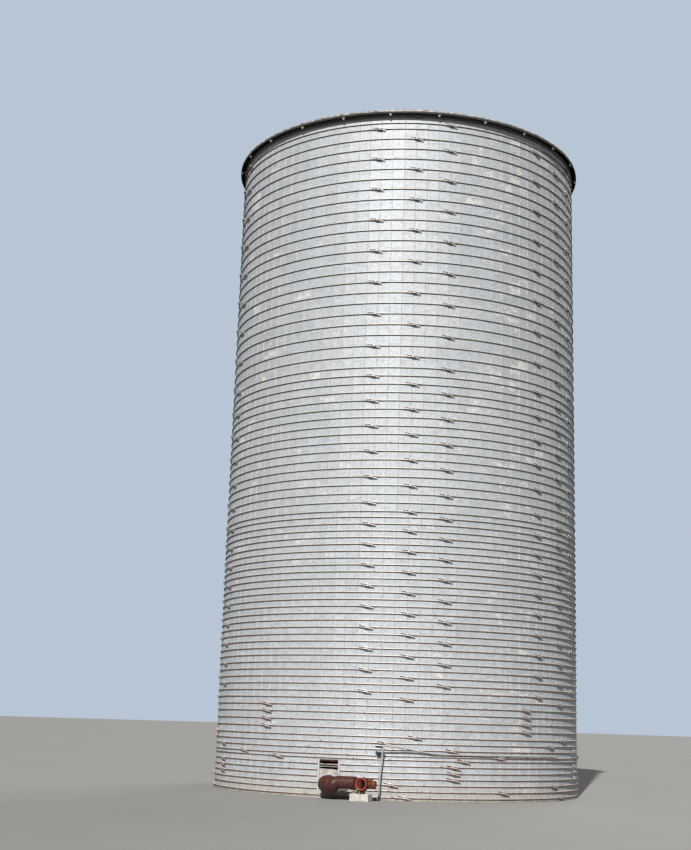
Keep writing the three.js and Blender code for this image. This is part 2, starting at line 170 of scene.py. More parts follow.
def add_copy(bm, pattern, matrix):
    """Adds a copy of a pattern mesh to a bmesh at a place."""
    copy = pattern.copy()
    copy.transform(matrix)
    bm.from_mesh(copy)
    bpy.data.meshes.remove(copy)


def merge(bm, part, matrix=Matrix()):
    """Moves a part's bmesh into another at a place."""
    mesh = as_mesh(part)
    mesh.transform(matrix)
    bm.from_mesh(mesh)
    bpy.data.meshes.remove(mesh)


def bevel_edges(bm, edges, width, segments=1):
    bmesh.ops.bevel(bm, geom=edges, offset=width, segments=segments, profile=0.5,
                    affect="EDGES", material=-1, clamp_overlap=True)


def sharp_edges(bm, degrees=30):
    return [e for e in bm.edges if len(e.link_faces) == 2 and e.calc_face_angle(0) > math.radians(degrees)]


def add_block(bm, size, centre, bevel=0.0, matrix=Matrix(), segments=1):
    """A box with bevelled edges, placed by a matrix."""
    part = bmesh.new()
    bmesh.ops.create_cube(part, size=1)
    bmesh.ops.scale(part, vec=size, verts=part.verts)
    bmesh.ops.translate(part, vec=centre, verts=part.verts)
    if bevel:
        bevel_edges(part, part.edges[:], bevel, segments)
    merge(bm, part, matrix)


def spin(part, verts, edges, steps):
    bmesh.ops.spin(part, geom=verts + edges, cent=(0, 0, 0), axis=UP, angle=2 * math.pi, steps=steps, use_merge=True)


def add_turned(bm, profile, matrix=Matrix(), steps=32):
    """A turned shape about the local Z axis. The profile's [radius, z] points start and end on the axis."""
    part = bmesh.new()
    verts = [part.verts.new((radius, 0, z)) for radius, z in profile]
    spin(part, verts, [part.edges.new(pair) for pair in zip(verts, verts[1:])], steps)
    bmesh.ops.remove_doubles(part, verts=part.verts, dist=1e-5)
    bmesh.ops.recalc_face_normals(part, faces=part.faces)
    merge(bm, part, matrix)


def add_rod(bm, radius, low, high, matrix, steps):
    """A round rod between two heights on the local Z axis."""
    add_turned(bm, [(0, low), (radius, low), (radius, high), (0, high)], matrix, steps)


def add_bolt(bm, place, axis, radius, height):
    profile = [(0, 0), (radius, 0), (radius, height * 0.75), (radius * 0.8, height), (0, height)]
    add_turned(bm, profile, along(axis, place), 6)


def add_bolts_round(bm, centre, axis, reach, count, radius, height):
    """Bolts evenly round a centre, on a level axis. The first lies half a step from straight up."""
    across = Vector((abs(axis[1]), abs(axis[0]), 0))
    for i in range(count):
        angle = 2 * math.pi * (i + 0.5) / count
        add_bolt(bm, centre + (across * math.sin(angle) + UP * math.cos(angle)) * reach, axis, radius, height)


def add_pipe(bm, matrices, radius=1, sides=48):
    """A round solid through circles of one radius, each laid by its matrix."""
    part = bmesh.new()
    bmesh.ops.create_circle(part, cap_ends=True, radius=radius, segments=sides, matrix=matrices[0])
    edges = part.edges[:]
    for before, here in zip(matrices, matrices[1:]):
        made = bmesh.ops.extrude_edge_only(part, edges=edges)["geom"]
        verts = [g for g in made if isinstance(g, bmesh.types.BMVert)]
        edges = [g for g in made if isinstance(g, bmesh.types.BMEdge) and all(v in verts for v in g.verts)]
        bmesh.ops.transform(part, matrix=here @ before.inverted(), verts=verts)
    bmesh.ops.edgeloop_fill(part, edges=edges)
    bmesh.ops.recalc_face_normals(part, faces=part.faces)
    merge(bm, part)


def add_tube(bm, points, radius, sides=8):
    """A round bar with flat ends along a list of points."""
    points = [Vector(p) for p in points]
    around = zip(points[:1] + points, points, points[1:] + points[-1:])
    add_pipe(bm, [along((after - before).normalized(), here) for before, here, after in around], radius, sides)


def copied(node, bevel, segments=2):
    """A node's own shape, merged and with its edges rounded, as a bmesh."""
    bm = bmesh.new()
    bm.from_mesh(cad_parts[node].data)
    bmesh.ops.remove_doubles(bm, verts=bm.verts, dist=1e-5)
    bmesh.ops.dissolve_limit(bm, angle_limit=math.radians(1), verts=bm.verts, edges=bm.edges)
    if bevel:
        bevel_edges(bm, sharp_edges(bm), bevel, segments)
    return bm


# Shader groups

def new_group(name, outputs, **inputs):
    """A shader node group with its builder, what it is given and its output node.

    An input without a default is a vector.
    """
    group = bpy.data.node_groups.new(name, "ShaderNodeTree")
    for label, default in inputs.items():
        kind = "Vector" if default is None else "Float" if isinstance(default, float) else "Color"
        socket = group.interface.new_socket(name=label, in_out="INPUT", socket_type="NodeSocket" + kind)
        if default is not None:
            socket.default_value = default
    for label, kind in outputs.items():
        group.interface.new_socket(name=label, in_out="OUTPUT", socket_type="NodeSocket" + kind)
    return group, Builder(group), group.nodes.new("NodeGroupInput").outputs, group.nodes.new("NodeGroupOutput")


class Builder:
    """Short ways to add shader nodes to one tree."""

    def __init__(self, tree):
        self.tree = tree

    def feed(self, node, inputs):
        """Sets a node's inputs, by name or number, to values or to other nodes' outputs."""
        for key, value in inputs.items():
            if isinstance(value, bpy.types.NodeSocket):
                self.tree.links.new(value, node.inputs[key])
            else:
                node.inputs[key].default_value = value

    def node(self, kind, inputs=None, **values):
        """Adds a node and gives back its outputs."""
        made = self.tree.nodes.new("ShaderNode" + kind)
        for key, value in values.items():
            setattr(made, key, value)
        self.feed(made, inputs or {})
        return made.outputs

    def math(self, operation, a, b=0.0, clamp=False):
        return self.node("Math", {0: a, 1: b}, operation=operation, use_clamp=clamp)[0]

    def mul(self, a, b):
        return self.math("MULTIPLY", a, b)

    def add(self, a, b, clamp=False):
        return self.math("ADD", a, b, clamp)

    def sub(self, a, b):
        return self.math("SUBTRACT", a, b)

    def flip(self, value):
        """1 minus a value."""
        return self.sub(1.0, value)

    def away(self, value, middle):
        """How far a value is from a middle."""
        return self.math("ABSOLUTE", self.sub(value, middle))

    def blend(self, a, b, share):
        """Two values added, the first by its share and the second by the rest."""
        return self.add(self.mul(a, share), self.mul(b, round(1 - share, 4)))

    def ramp(self, value, low, high):
        """Runs from 0 at low to 1 at high, smoothly and clamped."""
        return self.node("MapRange", {"Value": value, "From Min": low, "From Max": high},
                         interpolation_type="SMOOTHSTEP")[0]

    def noise(self, vector, scale, detail=4.0, roughness=0.55):
        inputs = {"Vector": vector, "Scale": scale, "Detail": detail, "Roughness": roughness}
        return self.node("TexNoise", inputs)["Fac"]

    def stretch(self, vector, scale):
        return self.node("Mapping", {"Vector": vector, "Scale": scale})[0]

    def mix(self, factor, a, b, blend="MIX"):
        first, second = (c if isinstance(c, bpy.types.NodeSocket) else (*c, 1) for c in (a, b))
        return self.node("Mix", {0: factor, 6: first, 7: second}, data_type="RGBA", blend_type=blend)[2]

    def over(self, under, mask, most, colour):
        """A colour laid over another where a mask says so, at most by the given share."""
        return self.mix(self.mul(mask, most), under, colour)

    def group(self, name, **inputs):
        return self.node("Group", inputs, node_tree=shared_group(name))

    def bump(self, height, strength, distance):
        return self.node("Bump", {"Height": height, "Strength": strength, "Distance": distance})[0]


def wall_place_group():
    """Where a point lies on the unrolled wall, in metres, with its angle and its height."""
    group, b, given, made = new_group(
        "wall place", {"Unrolled": "Vector", "Angle": "Float", "Height": "Float"}, Position=None)
    x, y, z = b.node("SeparateXYZ", {0: given[0]})
    angle = b.math("ARCTAN2", x, b.mul(y, -1.0))
    unrolled = b.node("CombineXYZ", {0: b.mul(angle, WALL_R), 1: z})[0]
    b.feed(made, {"Unrolled": unrolled, "Angle": b.math("DEGREES", angle), "Height": z})
    return group


def grain_group():
    """Fine and coarse grain, as a value to tint with and a height to bump with."""
    group, b, given, made = new_group(
        "surface grain", {"Tint": "Float", "Height": "Float"}, Position=None, Coarse=3.0, Fine=60.0)
    coarse = b.noise(given[0], given[1], 5.0, 0.6)
    fine = b.noise(given[0], given[2], 3.0, 0.7)
    b.feed(made, {"Tint": b.blend(coarse, fine, 0.7), "Height": b.blend(coarse, fine, 0.4)})
    return group


def rust_group():
    """Blotches of rust: a mask that grows with the amount, and a rust colour that varies."""
    group, b, given, made = new_group(
        "rust bloom", {"Mask": "Float", "Colour": "Color"}, Position=None, Amount=0.3, Scale=6.0,
        Rust=(0.27, 0.095, 0.035, 1))
    blotch = b.noise(given[0], given[2], 6.0, 0.65)
    low = b.sub(0.72, b.mul(given[1], 0.5))
    speck = b.noise(given[0], 40.0, 3.0)
    dark = b.mix(1.0, given[3], (0.35, 0.3, 0.3), "MULTIPLY")
    b.feed(made, {"Mask": b.ramp(blotch, low, b.add(low, 0.10)),
                  "Colour": b.mix(b.ramp(speck, 0.35, 0.65), dark, given[3])})
    return group


def streak_group():
    """Run marks that hang down the wall."""
    group, b, given, made = new_group("run marks", {"Mask": "Float"}, Unrolled=None, Scale=1.0)
    streak = b.noise(b.stretch(given[0], (9.0, 0.7, 1.0)), given[1], 4.0, 0.6)
    b.feed(made, {"Mask": b.ramp(streak, 0.56, 0.75)})
    return group


GROUP_MAKERS = {"place": wall_place_group, "grain": grain_group, "rust": rust_group, "streak": streak_group}
GROUPS = {}


def shared_group(name):
    if name not in GROUPS:
        GROUPS[name] = GROUP_MAKERS[name]()
    return GROUPS[name]


# Materials

def new_material(name):
    """A material with its builder, its Principled shader and the object's own coordinates."""
    material = bpy.data.materials.new(name)
    material.use_nodes = True
    b = Builder(material.node_tree)
    return material, b, material.node_tree.nodes["Principled BSDF"], b.node("TexCoord")["Object"]


def shade(colour, factor):
    return tuple(c * factor for c in colour)


QUARTER_STAVE = 0.19


def wear_mask(b, unrolled, angle, height):
    """Where the paint is gone: flakes and crumbs, by the stave, and more of them to the right and the left."""
    flakes = b.noise(b.stretch(unrolled, (1.0, 2.2, 1.0)), 1.1, 7.0, 0.66)
    worn = b.blend(flakes, b.noise(unrolled, 11.0, 8.0, 0.75), 0.62)
    column = b.math("FLOOR", b.math("DIVIDE", angle, STAVE_ANGLE))
    row = b.math("FLOOR", b.math("DIVIDE", height, QUARTER_STAVE))
    cell = b.node("CombineXYZ", {0: column, 1: row})[0]
    draw = b.node("TexWhiteNoise", {"Vector": cell}, noise_dimensions="2D")[0]
    worn = b.add(worn, b.mul(b.sub(draw, 0.5), 0.10))
    for middle, reach, gain in ((56, 24, 0.045), (-42, 18, 0.035)):
        worn = b.add(worn, b.mul(b.flip(b.ramp(b.away(angle, middle), 0.0, reach)), gain))
    return b.ramp(worn, 0.604, 0.620)


def stave_paint():
    """Aluminium paint on concrete: tone by stave, run marks, bare patches, rust marks, splash, painted highlights
    along the joints and painted shade under the eave.
    """
    colours = bpy.context.scene.silo_colours
    material, b, shader, position = new_material("aluminium painted staves")
    unrolled, angle, height = b.group("place", Position=position)
    grain = b.group("grain", Position=position, Coarse=0.9, Fine=45.0)
    tone = b.node("Attribute", attribute_name="stave_tone")["Fac"]
    colour = b.mix(b.ramp(tone, 0.0, 1.0), shade(colours.paint, 0.90), tuple(colours.paint))
    colour = b.over(colour, b.ramp(grain["Tint"], 0.42, 0.68), 0.35, (0.66, 0.67, 0.68))
    colour = b.over(colour, b.group("streak", Unrolled=unrolled, Scale=1.0)[0], 0.30, (0.70, 0.70, 0.68))
    bare_and_underside_shade = wear_mask(b, unrolled, angle, height)
    colour = b.over(colour, bare_and_underside_shade, 0.85, tuple(colours.primer))

    # Painted highlights along the upright joints' chamfered edges, away from the middle of the view
    across = b.mul(b.math("PINGPONG", angle, STAVE_ANGLE / 2), math.radians(WALL_R))
    aside = b.ramp(b.away(angle, 15), 22, 45)
    kept = b.ramp(b.noise(unrolled, 2.2, 3.0), 0.38, 0.60)
    joint_highlight = b.mul(b.flip(b.ramp(across, 0.010, 0.018)), b.mul(aside, kept))
    colour = b.over(colour, joint_highlight, 0.80, shade(colours.primer, 1.12))

    # Dark lifted edges of paint, speckle and blotches
    flaked = b.noise(b.stretch(unrolled, (0.9, 1.6, 1.0)), 2.4, 8.0, 0.72)
    edge = b.flip(b.ramp(b.away(flaked, 0.56), 0.001, 0.006))
    lifted = b.mul(edge, b.ramp(b.noise(unrolled, 1.3, 3.0), 0.50, 0.62))
    colour = b.over(colour, lifted, 0.55, (0.10, 0.085, 0.07))
    colour = b.over(colour, b.ramp(b.noise(unrolled, 24.0, 4.0, 0.65), 0.44, 0.60), 0.42, (0.30, 0.31, 0.33))
    colour = b.over(colour, b.ramp(b.noise(unrolled, 7.0, 5.0, 0.7), 0.45, 0.62), 0.34, (0.34, 0.35, 0.38))

    # Rust marks and splash low down, and painted shade under the eave
    stain = b.group("streak", Unrolled=unrolled, Scale=2.3)[0]
    colour = b.over(colour, b.mul(stain, b.flip(b.ramp(height, 0.3, 6.5))), 0.30, tuple(colours.rust))
    splash = b.flip(b.ramp(b.add(height, b.mul(grain["Tint"], 0.4)), 0.25, 0.75))
    colour = b.over(colour, splash, 0.45, (0.33, 0.29, 0.22))
    # Painted shade: the wall's top under the eave is darkened
    painted_eave_shade = b.ramp(b.add(height, b.mul(grain["Tint"], 0.03)), WALL_TOP - 0.125, WALL_TOP - 0.045)
    rough = b.add(0.50, b.mul(grain["Tint"], 0.16))
    b.feed(shader, {
        "Base Color": b.over(colour, painted_eave_shade, 0.85, (0.030, 0.026, 0.022)), "Diffuse Roughness": 0.1,
        "Metallic": b.mul(b.flip(b.math("MAXIMUM", bare_and_underside_shade, splash)), 0.20),
        "Roughness": b.add(rough, b.mul(bare_and_underside_shade, 0.3), True),
        "Normal": b.bump(b.sub(grain["Height"], b.mul(bare_and_underside_shade, 0.5)), 0.5, 0.004)})
    return material


def painted_steel(name, paint, amount, metallic=0.35, rough=0.5, scale=5.0, specular=0.5, fade=None):
    """Painted steel that rusts through in blotches. The paint is a colour, or the name of one of the settings.

    With fade, which is a height and the rust amount on the ground, the amount changes up to that height.
    Undersides are then also painted near black as painted shade, and rust brown near the ground.
    """
    colours = bpy.context.scene.silo_colours
    if isinstance(paint, str):
        paint = tuple(getattr(colours, paint))
    material, b, shader, position = new_material(name)
    grain = b.group("grain", Position=position, Coarse=8.0, Fine=120.0)
    if fade:
        fade_height, amount_low = fade
        up = b.ramp(b.group("place", Position=position)["Height"], 0.0, fade_height)
        amount = b.add(amount_low, b.mul(up, amount - amount_low))
    mask, rust = b.group("rust", Position=position, Amount=amount, Scale=scale, Rust=(*colours.rust, 1))
    colour = b.mix(mask, b.mix(grain["Tint"], shade(paint, 0.72), paint), rust)
    if fade:
        # Painted shade: undersides are painted near black, and rust brown near the ground
        facing = b.node("SeparateXYZ", {0: b.node("NewGeometry")["Normal"]})[2]
        under = b.flip(b.ramp(b.add(facing, b.mul(up, 0.18)), -0.20, 0.22))
        bare_and_underside_shade = b.mix(b.mul(up, up), shade(colours.rust, 1.1), (0.020, 0.014, 0.011))
        colour = b.over(colour, under, 1.0, bare_and_underside_shade)
    b.feed(shader, {
        "Base Color": colour, "Specular IOR Level": specular, "Metallic": b.mul(b.flip(mask), metallic),
        "Roughness": b.add(rough, b.mul(mask, 0.35), True),
        "Normal": b.bump(b.add(b.mul(grain["Height"], 0.4), mask), 0.5, 0.0015)})
    return material


def rough_concrete(name, pale, dark, scale=7.0):
    material, b, shader, position = new_material(name)
    grain = b.group("grain", Position=position, Coarse=scale, Fine=90.0)
    pits = b.node("TexVoronoi", {"Vector": position, "Scale": 55.0})["Distance"]
    hole = b.flip(b.ramp(pits, 0.12, 0.3))
    colour = b.mix(b.ramp(grain["Tint"], 0.35, 0.7), dark, pale)
    b.feed(shader, {
        "Base Color": b.over(colour, hole, 0.5, shade(dark, 0.5)),
        "Roughness": b.add(0.82, b.mul(grain["Tint"], 0.15), True),
        "Normal": b.bump(b.sub(grain["Height"], b.mul(hole, 0.6)), 0.8, 0.004)})
    return material


def weathered_board(name, dark, pale, worn_tone):
    material, b, shader, position = new_material(name)
    fibres = b.noise(b.stretch(position, (1.5, 30.0, 40.0)), 6.0, 6.0, 0.6)
    worn = b.ramp(b.noise(position, 7.0, 4.0), 0.45, 0.6)
    colour = b.mix(b.ramp(fibres, 0.3, 0.7), dark, pale)
    b.feed(shader, {"Base Color": b.over(colour, worn, 0.55, worn_tone), "Roughness": b.add(0.7, b.mul(fibres, 0.2)),
                    "Normal": b.bump(fibres, 0.6, 0.003)})
    return material


# For steel: name, paint, rust amount, metallic, roughness, scale of the rust, specular level and fade, which also
# paints shade on undersides
FINISHES = {
    "staves": (stave_paint,),
    "hoops": (painted_steel, "aluminium painted hoops", (0.74, 0.74, 0.73), 0.19, 0.25, 0.45, 11.0, 0.5, (5.0, 0.33)),
    "frame": (painted_steel, "hatch frame paint", (0.78, 0.78, 0.76), 0.24),
    # The soffit is painted near black: painted shade under the eave
    "soffit": (painted_steel, "tarred soffit", (0.008, 0.007, 0.007), 0.18, 0.0, 0.9, 4.0, 0.0),
    "fascia": (painted_steel, "tarred fascia", (0.060, 0.058, 0.052), 0.24, 0.0, 0.8, 5.0, 0.2),
    # The brackets are painted near black: painted shade under the eave
    "bracket": (painted_steel, "tarred brackets", (0.030, 0.028, 0.026), 0.25, 0.0, 0.7, 20.0, 0.2),
    "tie": (painted_steel, "aluminium painted nuts", (0.70, 0.69, 0.67), 0.18, 0.1, 0.5, 20.0),
    "motor": (painted_steel, "rusted motor paint", (0.20, 0.055, 0.030), 0.5, 0.2, 0.6, 16.0),
    "hose": (painted_steel, "black pipe", (0.008, 0.010, 0.014), 0.22, 0.1, 0.5, 9.0),
    "sheet": (painted_steel, "old roof sheet", (0.36, 0.36, 0.35), 0.42, 0.75, 0.42, 0.9),
    "rust": (painted_steel, "rusty steel", (0.060, 0.020, 0.014), 0.36, 0.2, 0.75, 14.0),
    "duct": (painted_steel, "brown duct paint", "duct_brown", 0.3, 0.2, 0.5, 7.0),
    "fan": (painted_steel, "faded fan red", "fan_red", 0.36, 0.1, 0.5, 12.0),
    "box": (painted_steel, "blue grey enamel", (0.018, 0.030, 0.042), 0.2, 0.2, 0.4, 18.0),
    "tube": (painted_steel, "dull galvanised tube", (0.66, 0.67, 0.66), 0.22, 0.3, 0.45, 10.0, 0.5, (0.5, 0.2)),
    "edge": (rough_concrete, "gritty roof edge", (0.74, 0.73, 0.69), (0.09, 0.08, 0.07), 9.0),
    "concrete": (rough_concrete, "footing concrete", (0.50, 0.47, 0.42), (0.27, 0.25, 0.22)),
    "block": (rough_concrete, "pale concrete block", (0.72, 0.71, 0.68), (0.48, 0.46, 0.42), 12.0),
    "bearer": (weathered_board, "sawn bearer", (0.40, 0.36, 0.30), (0.62, 0.58, 0.52), (0.12, 0.08, 0.06)),
    "boards": (weathered_board, "weathered boards", (0.24, 0.21, 0.19), (0.52, 0.49, 0.46), (0.62, 0.58, 0.55)),
}
MATERIALS = {}


def finish(name):
    """Each finish, made once."""
    if name not in MATERIALS:
        maker, *values = FINISHES[name]
        MATERIALS[name] = maker(*values)
    return MATERIALS[name]


# The wall

STAVE_SEED = 11
STAVE_SET_BACK = 0.0022
SHORTEST_STAVE = 0.03


def stave_block(from_angle, to_angle, z0, z1):
    """One stave between two angles and two heights, wedge-shaped, with a chamfered outer face."""
    sizes = bpy.context.scene.silo_sizes
    angle_joint = math.degrees(sizes.joint_width / 2 / WALL_R)
    half_joint = sizes.bed_joint / 2
    bm = bmesh.new()
    bmesh.ops.create_cube(bm, size=2)
    flat = math.cos(math.radians(STAVE_ANGLE / 2))
    middle = round(((from_angle + to_angle) / 2 - STAVE_ANGLE / 2) / STAVE_ANGLE) * STAVE_ANGLE + STAVE_ANGLE / 2
    for vert in bm.verts:
        angle = from_angle + angle_joint if vert.co.x < 0 else to_angle - angle_joint
        radius = (WALL_R if vert.co.y < 0 else WALL_R - WALL_T) * flat / math.cos(math.radians(angle - middle))
        vert.co = polar(angle, radius, z0 + half_joint if vert.co.z < 0 else z1 - half_joint)
    outer = max(bm.faces, key=lambda f: f.calc_center_median().xy.length)
    bevel_edges(bm, list(outer.edges), sizes.stave_chamfer)
    return bm


def stave_cuts(column):
    """The staves of one column, as (from angle, to angle, z0, z1), cut round the hatch."""
    step = bpy.context.scene.silo_sizes.stave_height

    def cut(start, end, z0, z1):
        level = WALL_BOTTOM + 0.5 * (column % 2) * step
        joints = [z0]
        while level < z1 - SHORTEST_STAVE:
            if level > z0 + SHORTEST_STAVE:
                joints.append(level)
            level += step
        return [(start, end, *pair) for pair in zip(joints, joints[1:] + [z1])]

    start, end = column * STAVE_ANGLE, (column + 1) * STAVE_ANGLE
    if column not in (-1, 0):
        return cut(start, end, WALL_BOTTOM, WALL_TOP)
    hatch_angle = math.degrees(math.asin(HATCH_HALF / WALL_R))
    beside = (start, -hatch_angle) if column < 0 else (hatch_angle, end)
    under = (-hatch_angle, 0) if column < 0 else (0, hatch_angle)
    return (cut(start, end, HATCH_TOP, WALL_TOP) + cut(*beside, WALL_BOTTOM, HATCH_TOP)
            + [(*under, WALL_BOTTOM, SILL_TOP)])


class SILO_OT_staves(bpy.types.Operator):
    """Lays the concrete staves, each chamfered, with joints staggered by half a stave"""
    bl_idname = "silo.staves"
    bl_label = "Staves"

    def execute(self, context):
        rng = random.Random(STAVE_SEED)
        for segment in range(SEGMENT_COUNT):
            bm = bmesh.new()
            tones = []
            first = segment * STAVES_EACH - STAVES_EACH // 2
            for column in range(first, first + STAVES_EACH):
                lean = rng.uniform(-1, 1)
                away = polar((column + 0.5) * STAVE_ANGLE, 1, 0)
                for cut in stave_cuts(column):
                    stave = stave_block(*cut)
                    bmesh.ops.translate(stave, vec=away * rng.uniform(-STAVE_SET_BACK, 0.0), verts=stave.verts)
                    tones += [min(1, max(0, 0.5 + 0.22 * lean + rng.gauss(0, 0.2)))] * len(stave.faces)
                    merge(bm, stave)
            nodes = [f"wall_segment_{segment + 1}"]
            if segment == 0:
                nodes = ["wall_over_hatch", "wall_left_of_hatch", "wall_right_of_hatch", "wall_under_hatch"]
            piece = make_piece(f"stave_wall_{segment + 1:02d}", bm, "staves", nodes)
            tone = piece.data.attributes.new("stave_tone", "FLOAT", "FACE")
            tone.data.foreach_set("value", np.array(tones, np.float32))
        return {"FINISHED"}


# The hoops

TOP_HOOP_Z = 15.542
# How many hoops follow at each spacing, from the top down
HOOP_ZONES = ((2, 0.1515), (23, 0.2543), (17, 0.1932), (1, 0.128), (28, 0.150), (3, 0.161), (3, 0.129), (1, 0.075),
              (6, 0.1276))
LUG_ANGLES = (9.9, 65.3, 146.9, 206.3, 287.9)
# How far a hoop is turned: from the top down these three in turn, and each of the lowest fifteen by its own
LUG_SHIFTS = (11.9, 22.5, 0)
LOW_LUG_SHIFTS = {70: 50, 71: 50, 72: 50, 73: 50, 74: 14.5, 75: 6, 76: 25.2, 77: 40.2, 78: -26.8,
                  79: 25.6, 80: 25.6, 81: 25.6, 82: 8, 83: -14, 84: 11.9}
HOOP_SEED = 5
HOOP_WANDER = 0.0015
HOOPS_PER_PIECE = 12
# Degrees beside the hatch without a lug, and between the hatch's frame and a rod's end
HATCH_CLEAR = 8
HATCH_GAP = 0.15
ROD_TILT = 0.19
ROD_STANDOFF = 0.018
ROD_OFF_AXIS = 0.015
ROD_GAP = 0.0006
LUG_REACH = 0.3
# Degrees between a rod's points: close together near its ends, and the widest step between them
ROD_END_STEPS = (0.0, 0.45, 0.9, 1.35, 1.8, 2.4, 3.0, 3.8, 5.0)
ROD_STEP = 3.4


def hoop_heights():
    heights = [TOP_HOOP_Z]
    for count, spacing in HOOP_ZONES:
        for _ in range(count):
            heights.append(heights[-1] - spacing)
    return heights


def lug_angles(index):
    """Where the five lugs of a hoop lie, counted from the top one as 0."""
    shift = LOW_LUG_SHIFTS.get(index, LUG_SHIFTS[index % len(LUG_SHIFTS)])
    return [(angle + shift) % 360 for angle in LUG_ANGLES]


def rod_points(start, end, lift_start, lift_end):
    """A rod's path at height 0. Near a lug it swings up or down and off the wall, past the lug's middle."""
    sizes = bpy.context.scene.silo_sizes
    radius = sizes.rod_diameter / 2
    extra = math.degrees(sizes.rod_overlap / WALL_R)
    a0 = start - (extra if lift_start else 0)
    a1 = end + (extra if lift_end else 0)
    fine_to = ROD_END_STEPS[-1]
    parts = max(2, round((a1 - a0 - 2 * fine_to) / ROD_STEP))
    angles = [a0 + f for f in ROD_END_STEPS]
    angles += list(np.linspace(a0 + fine_to, a1 - fine_to, parts + 1)[1:-1])
    angles += [a1 - f for f in reversed(ROD_END_STEPS)]
    points = []
    for angle in angles:
        rise = away = 0.0
        for lift, past in ((lift_start, start - angle), (lift_end, angle - end)):
            s = math.radians(past) * WALL_R
            if s > -LUG_REACH:
                rise += lift * (max(0.0, ROD_OFF_AXIS + ROD_TILT * s) + 0.004 * math.exp(-((s + 0.08) / 0.05) ** 2))
            near = min(1.0, max(0.0, (s + 0.20) / 0.14))
            away += abs(lift) * ROD_STANDOFF * near * near * (3 - 2 * near)
        points.append(polar(angle, WALL_R + ROD_GAP + radius + away, rise))
    return points


def lug_pattern():
    """A cast lug at angle 0 and height 0: a saddle on the wall and two bosses, with a nut on each rod's end."""
    rod_r = bpy.context.scene.silo_sizes.rod_diameter / 2
    bm = bmesh.new()
    face = WALL_R + 0.0005
    saddle = ROD_STANDOFF + 0.004
    add_block(bm, (0.104, saddle, 0.048), (0, -(face + saddle / 2), 0), 0.004)
    boss_r, half = rod_r + 0.010, 0.036
    profile = [(0, -half), (boss_r * 0.82, -half), (boss_r, -half * 0.75), (boss_r, half * 0.75),
               (boss_r * 0.82, half), (0, half)]
    axis = Vector((1, 0, -ROD_TILT)).normalized()
    for side in (-1, 1):
        middle = Vector((0, -(face + ROD_STANDOFF + rod_r), side * ROD_OFF_AXIS))
        add_turned(bm, profile, along(axis, middle), 8)
        add_rod(bm, rod_r + 0.008, -0.011, 0.011, along(axis, middle - axis * side * (half + 0.014)), 6)
    return as_mesh(bm, "lug")


def hoop_ring(angles, lug, hatch_edge=None):
    """One hoop at height 0. With a hatch edge it stops short of the hatch on both sides."""
    bm = bmesh.new()
    ends = sorted(angles)
    if hatch_edge is None:
        spans = [(a, b, 1, -1) for a, b in zip(ends, ends[1:] + [ends[0] + 360])]
    else:
        stops = [hatch_edge + HATCH_GAP] + ends + [360 - hatch_edge - HATCH_GAP]
        spans = [(a, b, int(i > 0), -int(i < len(ends))) for i, (a, b) in enumerate(zip(stops, stops[1:]))]
    for span in spans:
        add_tube(bm, rod_points(*span), bpy.context.scene.silo_sizes.rod_diameter / 2)
    for angle in ends:
        add_copy(bm, lug, turn(angle))
    return as_mesh(bm, "hoop")


class SILO_OT_hoops(bpy.types.Operator):
    """Lays all 85 steel hoops, each of five rods that overlap in cast lugs"""
    bl_idname = "silo.hoops"
    bl_label = "Hoops and lugs"

    def execute(self, context):
        rng = random.Random(HOOP_SEED)
        lug = lug_pattern()
        whole = hoop_ring(LUG_ANGLES, lug)
        heights = hoop_heights()
        frame_low, frame_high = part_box("hatch_frame")
        hatch_edge = math.degrees(math.asin(frame_high.x / WALL_R))
        for first in range(0, len(heights), HOOPS_PER_PIECE):
            bm = bmesh.new()
            for index in range(first, min(first + HOOPS_PER_PIECE, len(heights))):
                z = heights[index]
                angles = lug_angles(index)
                if frame_low.z < z < frame_high.z:
                    angles = [a for a in angles if HATCH_CLEAR < a < 360 - HATCH_CLEAR]
                    stopped = hoop_ring(angles, lug, hatch_edge)
                    add_copy(bm, stopped, Matrix.Translation((0, 0, z)))
                    bpy.data.meshes.remove(stopped)
                else:
                    z += rng.uniform(-HOOP_WANDER, HOOP_WANDER)
                    add_copy(bm, whole, Matrix.Translation((0, 0, z)) @ turn(angles[0] - LUG_ANGLES[0]))
            number = f"{first + 1:02d}"
            make_piece(f"hoops_{number}", bm, "hoops", [f"hoop_{number}"], 50)
        return {"FINISHED"}


# The roof and its eave

FIRST_RIB = -16.9
RIB_COUNT = 30
RIB_SPACING = 360 / RIB_COUNT
PANS = RIB_COUNT // SEGMENT_COUNT
ROOF_SLOPE = math.radians(20)
ROOF_LIFT = 0.0083
SWAGE_RISE = 0.007
PANEL_GAP = 0.05
# Outer and inner radius of each course, and how far it is lifted so that the courses lap
ROOF_COURSES = ((4.470, 3.060, 0.0006), (3.110, 1.700, 0.0028), (1.750, 0.330, 0.0050))
SCREW_RADII = np.arange(0.62, 4.4, 0.42)
TIE_COUNT = 24
FIRST_TIE = 13.4
RAGGED_SPLIT = 15.6


def roof_height(radius):
    """Height of the roof sheet's upper side at a radius."""
    return EAVE_TOP + ROOF_LIFT + (EAVE_R - radius) * math.tan(ROOF_SLOPE)


def sheet_course(start, outer, inner, lift):
    """One course of roof sheet on a panel, with two shallow swages pressed into each pan."""
    bm = bmesh.new()
    rise = (0, 0, 1, 0, 0, 1, 0, 0)
    steps = PANS * len(rise)
    bmesh.ops.create_grid(bm, x_segments=steps, y_segments=4, size=0.5)
    for vert in bm.verts:
        step = round((vert.co.x + 0.5) * steps)
        radius = inner + (outer - inner) * (0.5 - vert.co.y)
        angle = start + PANEL_GAP + (SEGMENT_ANGLE - 2 * PANEL_GAP) * step / steps
        vert.co = polar(angle, radius, roof_height(radius) + lift + SWAGE_RISE * rise[step % len(rise)])
    bmesh.ops.solidify(bm, geom=bm.faces[:] + bm.edges[:] + bm.verts[:], thickness=0.0015)
    bmesh.ops.recalc_face_normals(bm, faces=bm.faces)
    return bm


